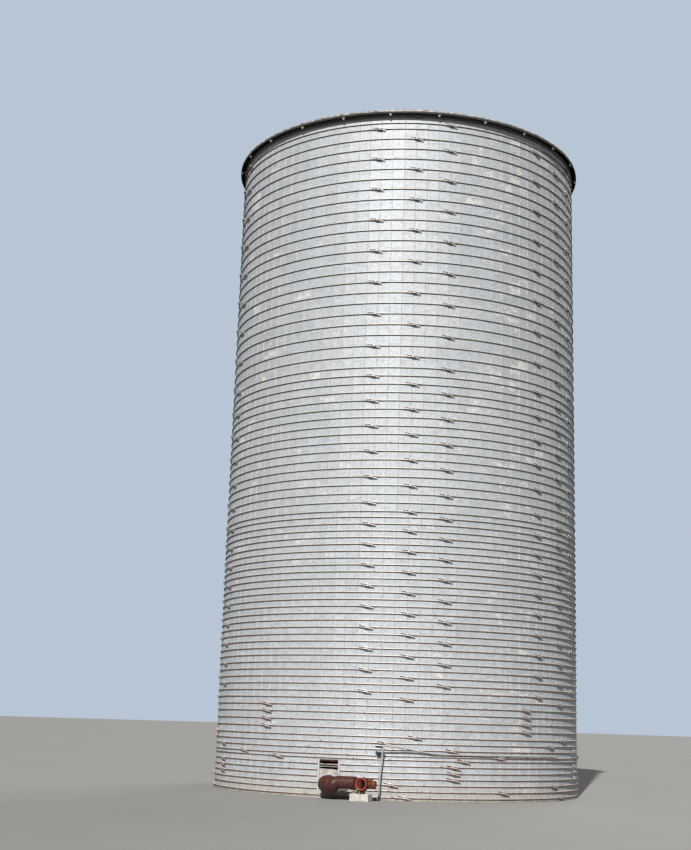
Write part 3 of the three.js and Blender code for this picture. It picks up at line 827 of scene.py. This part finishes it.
class SILO_OT_roof(bpy.types.Operator):
    """Lays the lapped roof sheets with their ribs and screws, one piece a panel, and the filling cap"""
    bl_idname = "silo.roof"
    bl_label = "Roof sheets"

    def execute(self, context):
        outward = Vector((0, -math.sin(ROOF_SLOPE), math.cos(ROOF_SLOPE)))
        for k in range(SEGMENT_COUNT):
            node = f"roof_panel_{k + 1}"
            bm = copied(node, 0.0)
            start = FIRST_RIB - RIB_SPACING / 2 + k * SEGMENT_ANGLE
            for course in ROOF_COURSES:
                merge(bm, sheet_course(start, *course))
            for i in range(PANS):
                rib = turn(start + RIB_SPACING * (i + 0.5))
                for radius in SCREW_RADII:
                    for side in (-0.040, 0.040):
                        part = bmesh.new()
                        add_bolt(part, Vector((side, -radius, roof_height(radius) + 0.004)), outward, 0.009, 0.007)
                        merge(bm, part, rib)
            make_piece(f"roof_sheets_{k + 1:02d}", bm, "sheet", [node], 25)

        bm = copied("roof_cap", 0.006, 3)
        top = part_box("roof_cap")[1].z
        neck_r, lid_h, bolts_r = 0.230, 0.045, 0.385
        lid_r = neck_r + 0.014
        add_turned(bm, [(0, top - lid_h - 0.002), (lid_r, top - lid_h - 0.002), (lid_r, top - 0.004),
                        (neck_r + 0.006, top - 0.0005), (0, top - 0.0005)], steps=48)
        for i in range(12):
            add_bolt(bm, polar(i * 30, bolts_r, roof_height(bolts_r) + 0.030), UP, 0.011, 0.008)
        for size, x, out in (((0.012, 0.030, 0.050), -0.05, 0.020), ((0.012, 0.030, 0.050), 0.05, 0.020),
                             ((0.130, 0.010, 0.012), 0, 0.030)):
            add_block(bm, size, (x, -(neck_r + out), top - 0.050), 0.002)
        make_piece("filling_cap", bm, "sheet", ["roof_cap"], 30)
        return {"FINISHED"}


def ring_of(profile, steps, ragged=0.0):
    """A closed profile of (radius, z) points turned round the silo's axis, made uneven by a little noise."""
    bm = bmesh.new()
    verts = [bm.verts.new((0, -radius, z)) for radius, z in profile]
    spin(bm, verts, [bm.edges.new(pair) for pair in zip(verts, verts[1:] + verts[:1])], steps)
    bmesh.ops.recalc_face_normals(bm, faces=bm.faces)
    if ragged:
        for vert in bm.verts:
            wave = noise.noise(vert.co * 2.2) * 0.6 + noise.noise(vert.co * 9.0) * 0.4
            vert.co.z += ragged * (wave - 0.5 if vert.co.z > RAGGED_SPLIT else wave + 0.5)
            vert.co.xy *= 1 - abs(wave) * ragged / EAVE_R
    return bm


class SILO_OT_eave(bpy.types.Operator):
    """Makes the eave: a soffit and thirty brackets painted near black as shade, a fascia, a gritty roof edge and
    twenty-four tie rod ends
    """
    bl_idname = "silo.eave"
    bl_label = "Eave"

    def execute(self, context):
        low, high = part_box("eave_ring")
        inner = WALL_R + 0.012
        sheet = 0.006
        top, under = high.z, high.z - sheet
        fascia = EAVE_R - sheet
        profile = [(inner, under), (fascia - 0.0005, under), (fascia - 0.0005, top), (inner, top)]
        # The soffit, painted near black as shade
        make_piece("eave_soffit", ring_of(profile, 180), "soffit", ["eave_ring"])
        profile = [(fascia, low.z + 0.002), (EAVE_R - 0.001, low.z + 0.002), (EAVE_R - 0.001, top - 0.001),
                   (fascia, top - 0.001)]
        make_piece("eave_fascia", ring_of(profile, 360, 0.004), "fascia", smooth=30)
        profile = [(EAVE_R - back, top + up) for back, up in
                   ((0.046, 0.012), (0.004, 0.002), (0.003, 0.016), (0.010, 0.050), (0.034, 0.058))]
        make_piece("roof_edge", ring_of(profile, 720, 0.016), "edge")

        # Brackets, painted near black as shade
        bm = bmesh.new()
        length = fascia - inner
        middle_r = inner + length / 2
        top = under - 0.0005
        for i in range(RIB_COUNT):
            place = turn(FIRST_RIB + i * RIB_SPACING)
            for size, x, radius, down, bevel in (
                    ((0.006, length - 0.010, 0.034), -0.009, middle_r, 0.018, 0.001),
                    ((0.030, length - 0.010, 0.005), 0, middle_r, 0.003, 0.001),
                    ((0.034, 0.007, 0.038), 0, fascia - 0.006, 0.021, 0.0015)):
                add_block(bm, size, (x, -radius, top - down), bevel, place)
            for radius in (inner + 0.035, EAVE_R - 0.035):
                add_bolt(bm, place @ Vector((0.006, -radius, top - 0.006)), DOWN, 0.010, 0.008)
        make_piece("eave_brackets", bm, "bracket")

        bm = bmesh.new()
        middle = Vector((0, -(EAVE_R - 0.034), under))
        for i in range(TIE_COUNT):
            place = turn(FIRST_TIE + i * 360 / TIE_COUNT)
            add_rod(bm, 0.009, -0.094, -0.0005, place @ Matrix.Translation(middle), 10)
            add_block(bm, (0.070, 0.040, 0.008), middle - UP * 0.052, 0.001, place)
            add_block(bm, (0.034, 0.034, 0.024), middle - UP * 0.070, 0.004, place)
        make_piece("eave_ties", bm, "tie")
        return {"FINISHED"}


# The footing

class SILO_OT_footing(bpy.types.Operator):
    """Pours the footing, with a worn edge"""
    bl_idname = "silo.footing"
    bl_label = "Footing"

    def execute(self, context):
        make_piece("footing", copied("foundation_slab", 0.004), "concrete", ["foundation_slab"])
        return {"FINISHED"}


# The hatch

def add_plank(bm, source, z0, z1, bevel):
    """The part of a board between two heights, cut out of the source mesh and closed again."""
    part = bmesh.new()
    part.from_mesh(source)
    for level, normal in ((z0, DOWN), (z1, UP)):
        bmesh.ops.bisect_plane(part, geom=part.verts[:] + part.edges[:] + part.faces[:], plane_co=UP * level,
                               plane_no=normal, clear_outer=True)
        bmesh.ops.holes_fill(part, edges=[e for e in part.edges if e.is_boundary])
    bmesh.ops.recalc_face_normals(part, faces=part.faces)
    bevel_edges(part, sharp_edges(part, 60), bevel)
    merge(bm, part)


def subdivide_long(bm, longest, cuts):
    bmesh.ops.subdivide_edges(bm, edges=[e for e in bm.edges if e.calc_length() > longest], cuts=cuts,
                              use_grid_fill=True)


class SILO_OT_hatch(bpy.types.Operator):
    """Makes the hatch: a bolted frame, two rusty bars, a broken board and the boards the duct passes through"""
    bl_idname = "silo.hatch"
    bl_label = "Hatch"

    def execute(self, context):
        low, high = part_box("hatch_frame")
        bm = copied("hatch_frame", 0.0015, 1)
        strip_x = high.x - 0.014
        for z in hoop_heights():
            if low.z + 0.02 < z < high.z - 0.03:
                for side in (-1, 1):
                    add_block(bm, (0.024, 0.008, 0.034), (side * strip_x, low.y - 0.0025, z), 0.002)
        for z in (0.14, 0.35, 0.52, 0.76):
            for side in (-1, 1):
                add_bolt(bm, (side * strip_x, low.y, z), OUTWARD, 0.008, 0.006)
        make_piece("hatch_surround", bm, "frame", ["hatch_frame"])

        for node in ("hatch_bar_upper", "hatch_bar_lower"):
            bm = copied(node, 0.002)
            low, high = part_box(node)
            z = (low.z + high.z) / 2
            for vert in bm.verts:
                if vert.co.z < z:
                    vert.co.z += 0.008
            for side in (-1, 1):
                add_bolt(bm, (side * (high.x - 0.022), low.y, z), OUTWARD, 0.009, 0.006)
            make_piece(node.replace("hatch_bar", "bar"), bm, "rust", [node])

        bm = copied("hatch_loose_board", 0.0)
        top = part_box("hatch_loose_board")[1].z
        subdivide_long(bm, 0.2, 30)
        for vert in bm.verts:
            if vert.co.z > top - 0.001:
                break_off = 0.024 * max(0.0, noise.noise(Vector((vert.co.x * 17, 3, 1))))
                splinter = 0.004 * abs(noise.noise(Vector((vert.co.x * 90, 7, 2))))
                vert.co.z -= 0.002 + break_off + splinter
        make_piece("loose_board", bm, "boards", ["hatch_loose_board"])

        low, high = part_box("hatch_boards")
        bm = copied("hatch_boards", 0.0)
        for vert in bm.verts:
            if vert.co.z > high.z - 0.001:
                vert.co.z -= 0.018 * (vert.co.x - low.x) / (high.x - low.x)
        source = as_mesh(bm)
        bm = bmesh.new()
        cuts = [low.z, low.z + 0.135, low.z + 0.268, low.z + 0.402, high.z]
        for z0, z1 in zip(cuts, cuts[1:]):
            add_plank(bm, source, z0 + 0.0015, z1 - 0.0015, 0.0012)
            for side in (-1, 1):
                for z in (z0 + 0.03, z1 - 0.03):
                    add_bolt(bm, (side * (high.x - 0.018), low.y, z), OUTWARD, 0.004, 0.0015)
        bpy.data.meshes.remove(source)
        make_piece("planks", bm, "boards", ["hatch_boards"])
        return {"FINISHED"}


# The aeration fan

FAN_R = 0.135
INLET_R = 0.096


def ring_at(place, facing, radius):
    return along(facing, place) @ Matrix.Scale(radius, 4)


def make_elbow():
    low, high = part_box("fan_elbow")
    radius = (high.z - low.z) / 2
    z = (high.z + low.z) / 2
    axis_y = centre_of("duct_reducer").y
    axis_x = low.x + radius
    bend = high.x - axis_x
    gores, seam = 5, 0.004
    rings = [(Vector((axis_x, high.y, z)), OUTWARD, radius - seam)]
    for gore in range(gores + 1):
        for step, grow in ((-0.010, 0), (-0.004, seam), (0.004, seam), (0.010, 0)):
            a = min(max(math.pi / 2 * gore / gores + step / bend, 0), math.pi / 2)
            place = Vector((high.x - bend * math.cos(a), axis_y + bend - bend * math.sin(a), z))
            if (place - rings[-1][0]).length > 1e-6:
                rings.append((place, (math.sin(a), -math.cos(a), 0), radius - seam + grow))
    bm = bmesh.new()
    add_pipe(bm, [ring_at(*ring) for ring in rings])
    make_piece("elbow", bm, "duct", ["fan_elbow"], 40)

    bm = copied("duct_collar", 0.002)
    centre = centre_of("duct_collar")
    centre.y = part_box("duct_collar")[0].y + 0.001
    add_bolts_round(bm, centre, OUTWARD, 0.203, 10, 0.009, 0.007)
    make_piece("collar", bm, "tube", ["duct_collar"], 40)


def make_duct():
    low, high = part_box("duct_reducer")
    duct_low, duct_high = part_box("fan_duct")
    big = (high.y - low.y) / 2
    small = (duct_high.z - duct_low.z) / 2
    start = Vector((low.x, (low.y + high.y) / 2, low.z + big))
    middle = centre_of("fan_duct")
    end = Vector((high.x, middle.y, middle.z))
    bm = bmesh.new()
    add_pipe(bm, [ring_at(place, ALONG_X, radius) for place, radius in (
        (start, big), (start + ALONG_X * 0.012, big), (start + ALONG_X * 0.014, big - 0.004),
        (end - ALONG_X * 0.014, small), (end, small))])
    make_piece("reducer", bm, "duct", ["duct_reducer"], 40)

    bm = bmesh.new()
    length = duct_high.x - duct_low.x
    start = Vector((duct_low.x, middle.y, middle.z))
    beads = ((0, 0), (0.006, 0), (0.006, 0.004), (0.018, 0.004), (0.019, 0.001), (0.045, 0.001), (0.046, 0.004),
             (length - 0.046, 0.004), (length - 0.045, 0.001), (length - 0.019, 0.001), (length - 0.018, 0.004),
             (length, 0.004))
    add_pipe(bm, [ring_at(start + ALONG_X * at, ALONG_X, small - drop) for at, drop in beads])
    add_block(bm, (length - 0.10, 0.016, 0.003), (middle.x, start.y, start.z + small - 0.0025), 0.001)
    for x in (duct_low.x + 0.032, duct_high.x - 0.032):
        add_block(bm, (0.022, 0.018, 0.012), (x, start.y + 0.040, start.z + small * 0.93), 0.002)
    make_piece("duct", bm, "duct", ["fan_duct"], 40)


def make_housing():
    """The drum with its throat, foot and motor shelf, and the guard in its inlet."""
    low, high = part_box("fan_housing")
    ring_low, ring_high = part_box("inlet_ring")
    shaft_x, shaft_z = centre_of("inlet_ring").xz
    axis_y = centre_of("fan_housing").y
    front = ring_high.y + 0.0003
    deep = 2 * (axis_y - front)
    lip, barrel = 0.004, FAN_R - 0.006
    bm = bmesh.new()
    add_turned(bm, [(0, 0.110), (0.020, 0.108), (0.030, 0.114), (INLET_R, 0.116), (INLET_R, 0), (FAN_R, 0),
                    (FAN_R, lip), (barrel, lip), (barrel, deep - lip), (FAN_R, deep - lip), (FAN_R, deep),
                    (0, deep)], along(INWARD, (shaft_x, front, shaft_z)), 64)
    duct_z = centre_of("fan_duct").z
    duct_r = high.z - duct_z
    neck = Vector((low.x, axis_y, duct_z))
    add_turned(bm, [(0, 0), (duct_r - 0.001, 0), (duct_r, 0.001), (duct_r, 0.009), (duct_r - 0.001, 0.010),
                    (0, 0.010)], along(ALONG_X, neck), 48)
    add_bolts_round(bm, neck + ALONG_X * 0.010, ALONG_X, duct_r - 0.004, 12, 0.004, 0.006)
    throat = shaft_x - low.x - 0.005
    shelf_x, shelf = (shaft_x + 0.060 + high.x) / 2, high.x - shaft_x - 0.062
    shelf_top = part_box("fan_motor")[0].z
    for size, centre, bevel in (
            ((throat, deep - 0.004, 0.226), (shaft_x - throat / 2, axis_y, duct_z), 0.004),
            ((0.086, 0.106, FAN_R * 0.6), (shaft_x, axis_y, low.z + FAN_R * 0.3), 0.004),
            ((0.110, 0.140, 0.008), (shaft_x, axis_y, low.z + 0.004), 0.002),
            ((shelf, 0.108, 0.006), (shelf_x, axis_y, shelf_top - 0.0034), 0.001),
            ((shelf, 0.005, 0.016), (shelf_x, axis_y - 0.051, shelf_top - 0.010), 0.001),
            ((shelf, 0.005, 0.016), (shelf_x, axis_y + 0.051, shelf_top - 0.010), 0.001)):
        add_block(bm, size, centre, bevel)
    for ring_r in (0.030, 0.052, 0.074, 0.094):
        points = [(shaft_x + ring_r * math.sin(a), front - 0.002, shaft_z + ring_r * math.cos(a))
                  for a in np.linspace(0, 2 * math.pi, 41)]
        add_tube(bm, points, 0.0016, 6)
    middle = Vector((shaft_x, front - 0.005, shaft_z))
    for i in range(3):
        angle = math.pi * i / 3
        reach = Vector((math.sin(angle), 0, math.cos(angle))) * (INLET_R + 0.001)
        add_tube(bm, [middle - reach, middle + reach], 0.0025, 6)
    make_piece("housing", bm, "duct", ["fan_housing"], 35)

    bm = bmesh.new()
    outer = (ring_high.x - ring_low.x) / 2
    thick = ring_high.y - ring_low.y
    centre = Vector((shaft_x, ring_low.y, shaft_z))
    add_turned(bm, [(INLET_R, thick), (INLET_R, 0.010), (INLET_R + 0.003, 0.003), (INLET_R + 0.008, 0),
                    (outer - 0.006, 0), (outer - 0.001, 0.004), (outer, 0.009), (outer, thick), (INLET_R, thick)],
               along(INWARD, centre), 64)
    centre.y += 0.0005
    add_bolts_round(bm, centre, OUTWARD, (INLET_R + outer) / 2, 8, 0.005, 0.0005)
    make_piece("inlet", bm, "fan", ["inlet_ring"], 35)


def make_motor():
    low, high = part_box("fan_motor")
    centre = centre_of("fan_motor")
    radius = (high.z - low.z) / 2
    length = high.x - low.x
    start = Vector((low.x, centre.y, centre.z))
    body, cowl = radius - 0.010, radius - 0.002
    bm = bmesh.new()
    add_turned(bm, [(0, 0), (body * 0.86, 0), (body * 0.94, 0.010), (body, 0.018), (body, length - 0.058),
                    (cowl, length - 0.054), (cowl, length - 0.014), (body, length - 0.003), (body * 0.55, length),
                    (0, length)], along(ALONG_X, start), 48)
    fins, fin = 32, length - 0.085
    for i in range(fins):
        matrix = Matrix.Translation(start) @ Matrix.Rotation(2 * math.pi * i / fins, 4, "X")
        add_block(bm, (fin, 0.0035, 0.012), (0.020 + fin / 2, 0, radius - 0.0075), 0.001, matrix)
    for x in (start.x + 0.035, start.x + length - 0.060):
        for side in (-1, 1):
            add_block(bm, (0.026, 0.034, 0.030), (x, centre.y + side * 0.030, low.z + 0.0152), 0.002)
    add_bolts_round(bm, start + ALONG_X * (length - 0.006), ALONG_X, body * 0.72, 4, 0.006, 0.005)
    make_piece("motor", bm, "motor", ["fan_motor"], 35)

    low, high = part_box("motor_terminal_box")
    size = high - low
    centre = (low + high) / 2
    bm = bmesh.new()
    lid = 0.008
    add_block(bm, (size.x - 0.006, size.y - 0.006, size.z - lid - 0.001), centre - UP * (lid / 2 + 0.0005), 0.004,
              segments=2)
    add_block(bm, (size.x, size.y, lid), (centre.x, centre.y, high.z - lid / 2 - 0.0012), 0.002, segments=2)
    for sx in (-1, 1):
        for sy in (-1, 1):
            screw = (centre.x + sx * (size.x / 2 - 0.009), centre.y + sy * (size.y / 2 - 0.009), high.z - 0.0014)
            add_bolt(bm, screw, UP, 0.004, 0.0013)
    make_piece("terminal_box", bm, "motor", ["motor_terminal_box"])


def make_support():
    bm = copied("fan_block", 0.006)
    subdivide_long(bm, 0.05, 10)
    middle = centre_of("fan_block")
    for vert in bm.verts:
        dent = max(0.0, noise.noise(vert.co * 26) - 0.15) * 0.010
        vert.co.x -= dent * (1 if vert.co.x > middle.x else -1)
        vert.co.y -= dent * (1 if vert.co.y > middle.y else -1)
    make_piece("block", bm, "block", ["fan_block"])
    make_piece("bearer", copied("fan_bearer", 0.003), "bearer", ["fan_bearer"])


class SILO_OT_fan(bpy.types.Operator):
    """Makes the aeration fan: gored elbow, reducer, duct, round housing, motor, block and bearer"""
    bl_idname = "silo.fan"
    bl_label = "Fan"

    def execute(self, context):
        make_elbow()
        make_duct()
        make_housing()
        make_motor()
        make_support()
        return {"FINISHED"}


# Switch box and pipes

PIPE_R = 0.016
HOSE_R = 0.014
RISER_OUT = 0.168
NEAR_WALL = 0.042
FITTING_OUT = 0.174
FITTING_ANGLE = 13.5
FITTING_Z = 1.099
BOX_ANGLE = 14.65
BOX_Z = 0.932
# Points as (angle, z, standoff from the wall)
RISER = [(14.7, 0.004, RISER_OUT), (14.82, 0.200, RISER_OUT), (15.07, 0.632, RISER_OUT), (15.57, 0.974, RISER_OUT),
         (15.74, 1.036, RISER_OUT)]
HOSE = [(15.74, 1.036, RISER_OUT), (15.3, 1.074, RISER_OUT), (14.6, 1.083, RISER_OUT), (13.702, 1.083, RISER_OUT)]
CLIPS = [(35.4, 0.960, NEAR_WALL), (47.4, 0.956, NEAR_WALL), (60.5, 0.956, NEAR_WALL), (72, 0.955, NEAR_WALL)]
RUN = [(FITTING_ANGLE, 1.114, FITTING_OUT), (15.4, 1.109, 0.170), (18.5, 1.098, 0.150), (21.8, 1.063, 0.100),
       (24.9, 1.021, 0.058), (27.7, 0.992, NEAR_WALL), (30.1, 0.973, NEAR_WALL), *CLIPS, (75, 0.955, NEAR_WALL)]
RUN_COUPLING = (53, 0.956, NEAR_WALL)


def smooth_path(points, steps=8):
    """Points on a smooth curve through (angle, z, standoff from the wall) points."""
    places = [polar(angle, WALL_R + standoff, z) for angle, z, standoff in points]
    places = [2 * places[0] - places[1]] + places + [2 * places[-1] - places[-2]]
    path = []
    for a, b, c, d in zip(places, places[1:], places[2:], places[3:]):
        for step in range(steps):
            t = step / steps
            path.append(0.5 * (2 * b + (c - a) * t + (2 * a - 5 * b + 4 * c - d) * t * t
                               + (3 * b - a - 3 * c + d) * t ** 3))
    return path + [places[-2]]


def add_screw(bm, place, x, radius, z, size=0.003):
    """A flat screw head that faces off the wall, in a part placed by a matrix."""
    add_bolt(bm, place @ Vector((x, -radius, z)), place @ OUTWARD, size, 0.0015)


def add_clip(bm, angle, z, standoff):
    """A foot on the stave and a strap round the pipe, with a screw on each side."""
    face = WALL_R + 0.0005
    place = turn(angle)
    foot_z = z - PIPE_R - 0.006
    add_block(bm, (0.022, standoff - 0.004, 0.012), (0, -(face + standoff / 2), z - PIPE_R - 0.005), 0.002, place)
    add_block(bm, (0.040, 0.006, 0.020), (0, -(face + 0.003), foot_z), 0.001, place)
    for across in (-0.0145, 0.0145):
        add_screw(bm, place, across, face + 0.0055, foot_z)
    inner, outer = PIPE_R + 0.0005, PIPE_R + 0.004
    add_turned(bm, [(inner, -0.011), (outer, -0.011), (outer, 0.011), (inner, 0.011), (inner, -0.011)],
               place @ along(ALONG_X, (0, -(WALL_R + standoff), z)), 20)


def pipe(name, points, node, coupling, clips=()):
    """A pipe with a sleeve where its coupling is, and its clips."""
    bm = bmesh.new()
    path = smooth_path(points)
    add_tube(bm, path, PIPE_R, 16)
    angle, z, standoff = coupling
    place = polar(angle, WALL_R + standoff, z)
    i = min(range(1, len(path) - 1), key=lambda n: (path[n] - place).length)
    add_rod(bm, PIPE_R + 0.0045, -0.030, 0.030, along(path[i + 1] - path[i - 1], path[i]), 16)
    for clip in clips:
        add_clip(bm, *clip)
    make_piece(name, bm, "tube", [node], 40)


def make_flexible_end():
    """A black ribbed hose from the riser's top to the fitting."""
    bm = bmesh.new()
    path = smooth_path(HOSE, 10)
    add_tube(bm, path, HOSE_R, 14)
    for before, here, after in zip(path, path[1:], path[2:]):
        add_rod(bm, PIPE_R, -0.0016, 0.0016, along(after - before, here), 14)
    make_piece("flexible_end", bm, "hose", smooth=40)


def make_fitting():
    """The small cast box in which the hose and the long pipe meet."""
    bm = bmesh.new()
    place = turn(FITTING_ANGLE)
    middle = WALL_R + FITTING_OUT
    add_block(bm, (0.030, 0.034, 0.066), (0, -(middle - 0.003), FITTING_Z), 0.004, place, 2)
    add_block(bm, (0.028, 0.005, 0.062), (0, -(middle + 0.0165), FITTING_Z), 0.001, place)
    for dz in (-0.024, 0.024):
        add_screw(bm, place, 0, middle + 0.0185, FITTING_Z + dz)
    make_piece("pipe_fitting", bm, "tube")


def make_switch_box():
    """The box with its lid, hinge, catch and the two feet it stands on, beyond the hoops."""
    place = turn(BOX_ANGLE)
    z = BOX_Z
    wide, deep, high, lid = 0.112, 0.042, 0.084, 0.010
    back = WALL_R + bpy.context.scene.silo_sizes.rod_diameter + 0.0043
    front = back + deep
    bm = bmesh.new()
    add_block(bm, (wide - 0.004, deep - lid, high - 0.004), (0, -(back + (deep - lid) / 2), z), 0.003, place, 2)
    add_block(bm, (wide, lid - 0.001, high), (0, -(front - lid / 2), z), 0.003, place, 2)
    add_block(bm, (0.006, 0.012, high * 0.8), (0.003 - wide / 2, -(front - lid - 0.006), z), 0.001, place)
    add_block(bm, (0.012, 0.016, 0.050), (wide / 2 - 0.008, -(back + 0.020), z + 0.006), 0.003, place, 2)
    for dz in (-0.028, 0.028):
        add_screw(bm, place, wide / 2 - 0.012, front - 0.002, z + dz, 0.004)
    for end in (-1, 1):
        foot_z = z + end * (high / 2 - 0.010)
        add_block(bm, (wide - 0.030, 0.022, 0.018), (0, -(WALL_R + 0.0115), foot_z), 0.002, place)
    make_piece("switch_case", bm, "box", ["switch_box"])


class SILO_OT_electrics(bpy.types.Operator):
    """Makes the switch box, the riser with its flexible end, and the long pipe with its fitting and clips"""
    bl_idname = "silo.electrics"
    bl_label = "Switch box and pipes"

    def execute(self, context):
        make_switch_box()
        pipe("riser", RISER, "conduit_riser", RISER[-1])
        make_flexible_end()
        pipe("long_pipe", RUN, "conduit_run", RUN_COUPLING, CLIPS)
        make_fitting()
        return {"FINISHED"}


# The camera, light and floor

PIXELS_HIGH = 850
SENSOR_WIDTH = 36
VIEW_END = 500
FLOOR_R = 220
FILL_STRENGTH = 0.068
BACKDROP_STRENGTH = 0.60
# Name, strength, spread, bearing from the camera and height, the last three in degrees
LAMPS = (("key", 4.7, 0.9, -10, 40), ("rim", 1.0, 40, 155, 35))


def set_camera(context):
    view = context.scene.silo_view
    data = bpy.data.cameras.new("photo_camera")
    data.sensor_width = SENSOR_WIDTH
    data.lens = view.focal_pixels / PIXELS_HIGH * SENSOR_WIDTH
    data.shift_x, data.shift_y = view.shift_x, view.shift_y
    data.clip_end = VIEW_END
    camera = bpy.data.objects.new("photo_camera", data)
    context.scene.collection.objects.link(camera)
    across = Vector((math.cos(view.yaw), math.sin(view.yaw), 0))
    level = Vector((-math.sin(view.yaw), math.cos(view.yaw), 0))
    forward = math.cos(view.pitch) * level + math.sin(view.pitch) * UP
    lifted = -math.sin(view.pitch) * level + math.cos(view.pitch) * UP
    right = math.cos(view.roll) * across + math.sin(view.roll) * lifted
    top = -math.sin(view.roll) * across + math.cos(view.roll) * lifted
    basis = Matrix((right, top, -forward)).transposed().to_4x4()
    basis.translation = Vector((0, -view.distance, view.eye_height))
    camera.matrix_world = Matrix.Rotation(view.bearing, 4, "Z") @ basis
    context.scene.camera = camera


def lay_floor(context):
    bm = bmesh.new()
    bmesh.ops.create_circle(bm, cap_ends=True, radius=FLOOR_R, segments=96)
    floor = bpy.data.objects.new("floor", as_mesh(bm, "floor"))
    context.scene.collection.objects.link(floor)
    material, b, shader, position = new_material("pale floor")
    tone = b.noise(position, 0.5, 3.0)
    b.feed(shader, {"Base Color": b.mix(tone, (0.27, 0.27, 0.265), (0.30, 0.30, 0.295)), "Roughness": 0.9})
    floor.data.materials.append(material)


def set_lights(context):
    for name, energy, spread, turned, height in LAMPS:
        light = bpy.data.lights.new(name, "SUN")
        light.energy = energy
        light.angle = math.radians(spread)
        light.color = (1.0, 0.97, 0.93)
        lamp = bpy.data.objects.new(name, light)
        context.scene.collection.objects.link(lamp)
        bearing = math.degrees(context.scene.silo_view.bearing) + turned
        source = polar(bearing, math.cos(math.radians(height)), math.sin(math.radians(height)))
        lamp.rotation_mode = "QUATERNION"
        lamp.rotation_quaternion = source.to_track_quat("Z", "Y")
    world = bpy.data.worlds.new("soft studio")
    world.use_nodes = True
    b = Builder(world.node_tree)
    seen = b.node("LightPath")["Is Camera Ray"]
    b.feed(world.node_tree.nodes["Background"], {
        "Color": (0.72, 0.84, 1.0, 1), "Strength": b.add(FILL_STRENGTH, b.mul(seen, BACKDROP_STRENGTH))})
    context.scene.world = world
    context.scene.view_settings.view_transform = "Standard"


class SILO_OT_stage(bpy.types.Operator):
    """Sets the plain floor, the soft light and the camera"""
    bl_idname = "silo.stage"
    bl_label = "Stage"

    def execute(self, context):
        set_camera(context)
        lay_floor(context)
        set_lights(context)
        return {"FINISHED"}


# Panel and registration

# In the order they run
OPERATORS = (SILO_OT_footing, SILO_OT_staves, SILO_OT_hoops, SILO_OT_eave, SILO_OT_roof, SILO_OT_hatch, SILO_OT_fan,
             SILO_OT_electrics, SILO_OT_stage)
SETTINGS = (("silo_sizes", SiloSizes), ("silo_colours", SiloColours), ("silo_view", SiloView))


class SILO_PT_panel(bpy.types.Panel):
    bl_label = "Stave silo"
    bl_idname = "SILO_PT_panel"
    bl_space_type = "VIEW_3D"
    bl_region_type = "UI"
    bl_category = "Silo"

    def draw(self, context):
        for operator in OPERATORS:
            self.layout.operator(operator.bl_idname)
        for setting, _ in SETTINGS:
            group = getattr(context.scene, setting)
            for name in group.bl_rna.properties.keys():
                if name not in ("name", "rna_type"):
                    self.layout.prop(group, name)


def register():
    for name, group in SETTINGS:
        bpy.utils.register_class(group)
        setattr(bpy.types.Scene, name, bpy.props.PointerProperty(type=group))
    for item in (*OPERATORS, SILO_PT_panel):
        bpy.utils.register_class(item)


def unregister():
    for item in reversed((*OPERATORS, SILO_PT_panel)):
        bpy.utils.unregister_class(item)
    for name, group in reversed(SETTINGS):
        delattr(bpy.types.Scene, name)
        bpy.utils.unregister_class(group)


def main():
    register()
    bpy.ops.silo.footing()
    bpy.ops.silo.staves()
    bpy.ops.silo.hoops()
    bpy.ops.silo.eave()
    bpy.ops.silo.roof()
    bpy.ops.silo.hatch()
    bpy.ops.silo.fan()
    bpy.ops.silo.electrics()
    bpy.ops.silo.stage()


if __name__ == "__main__":
    main()
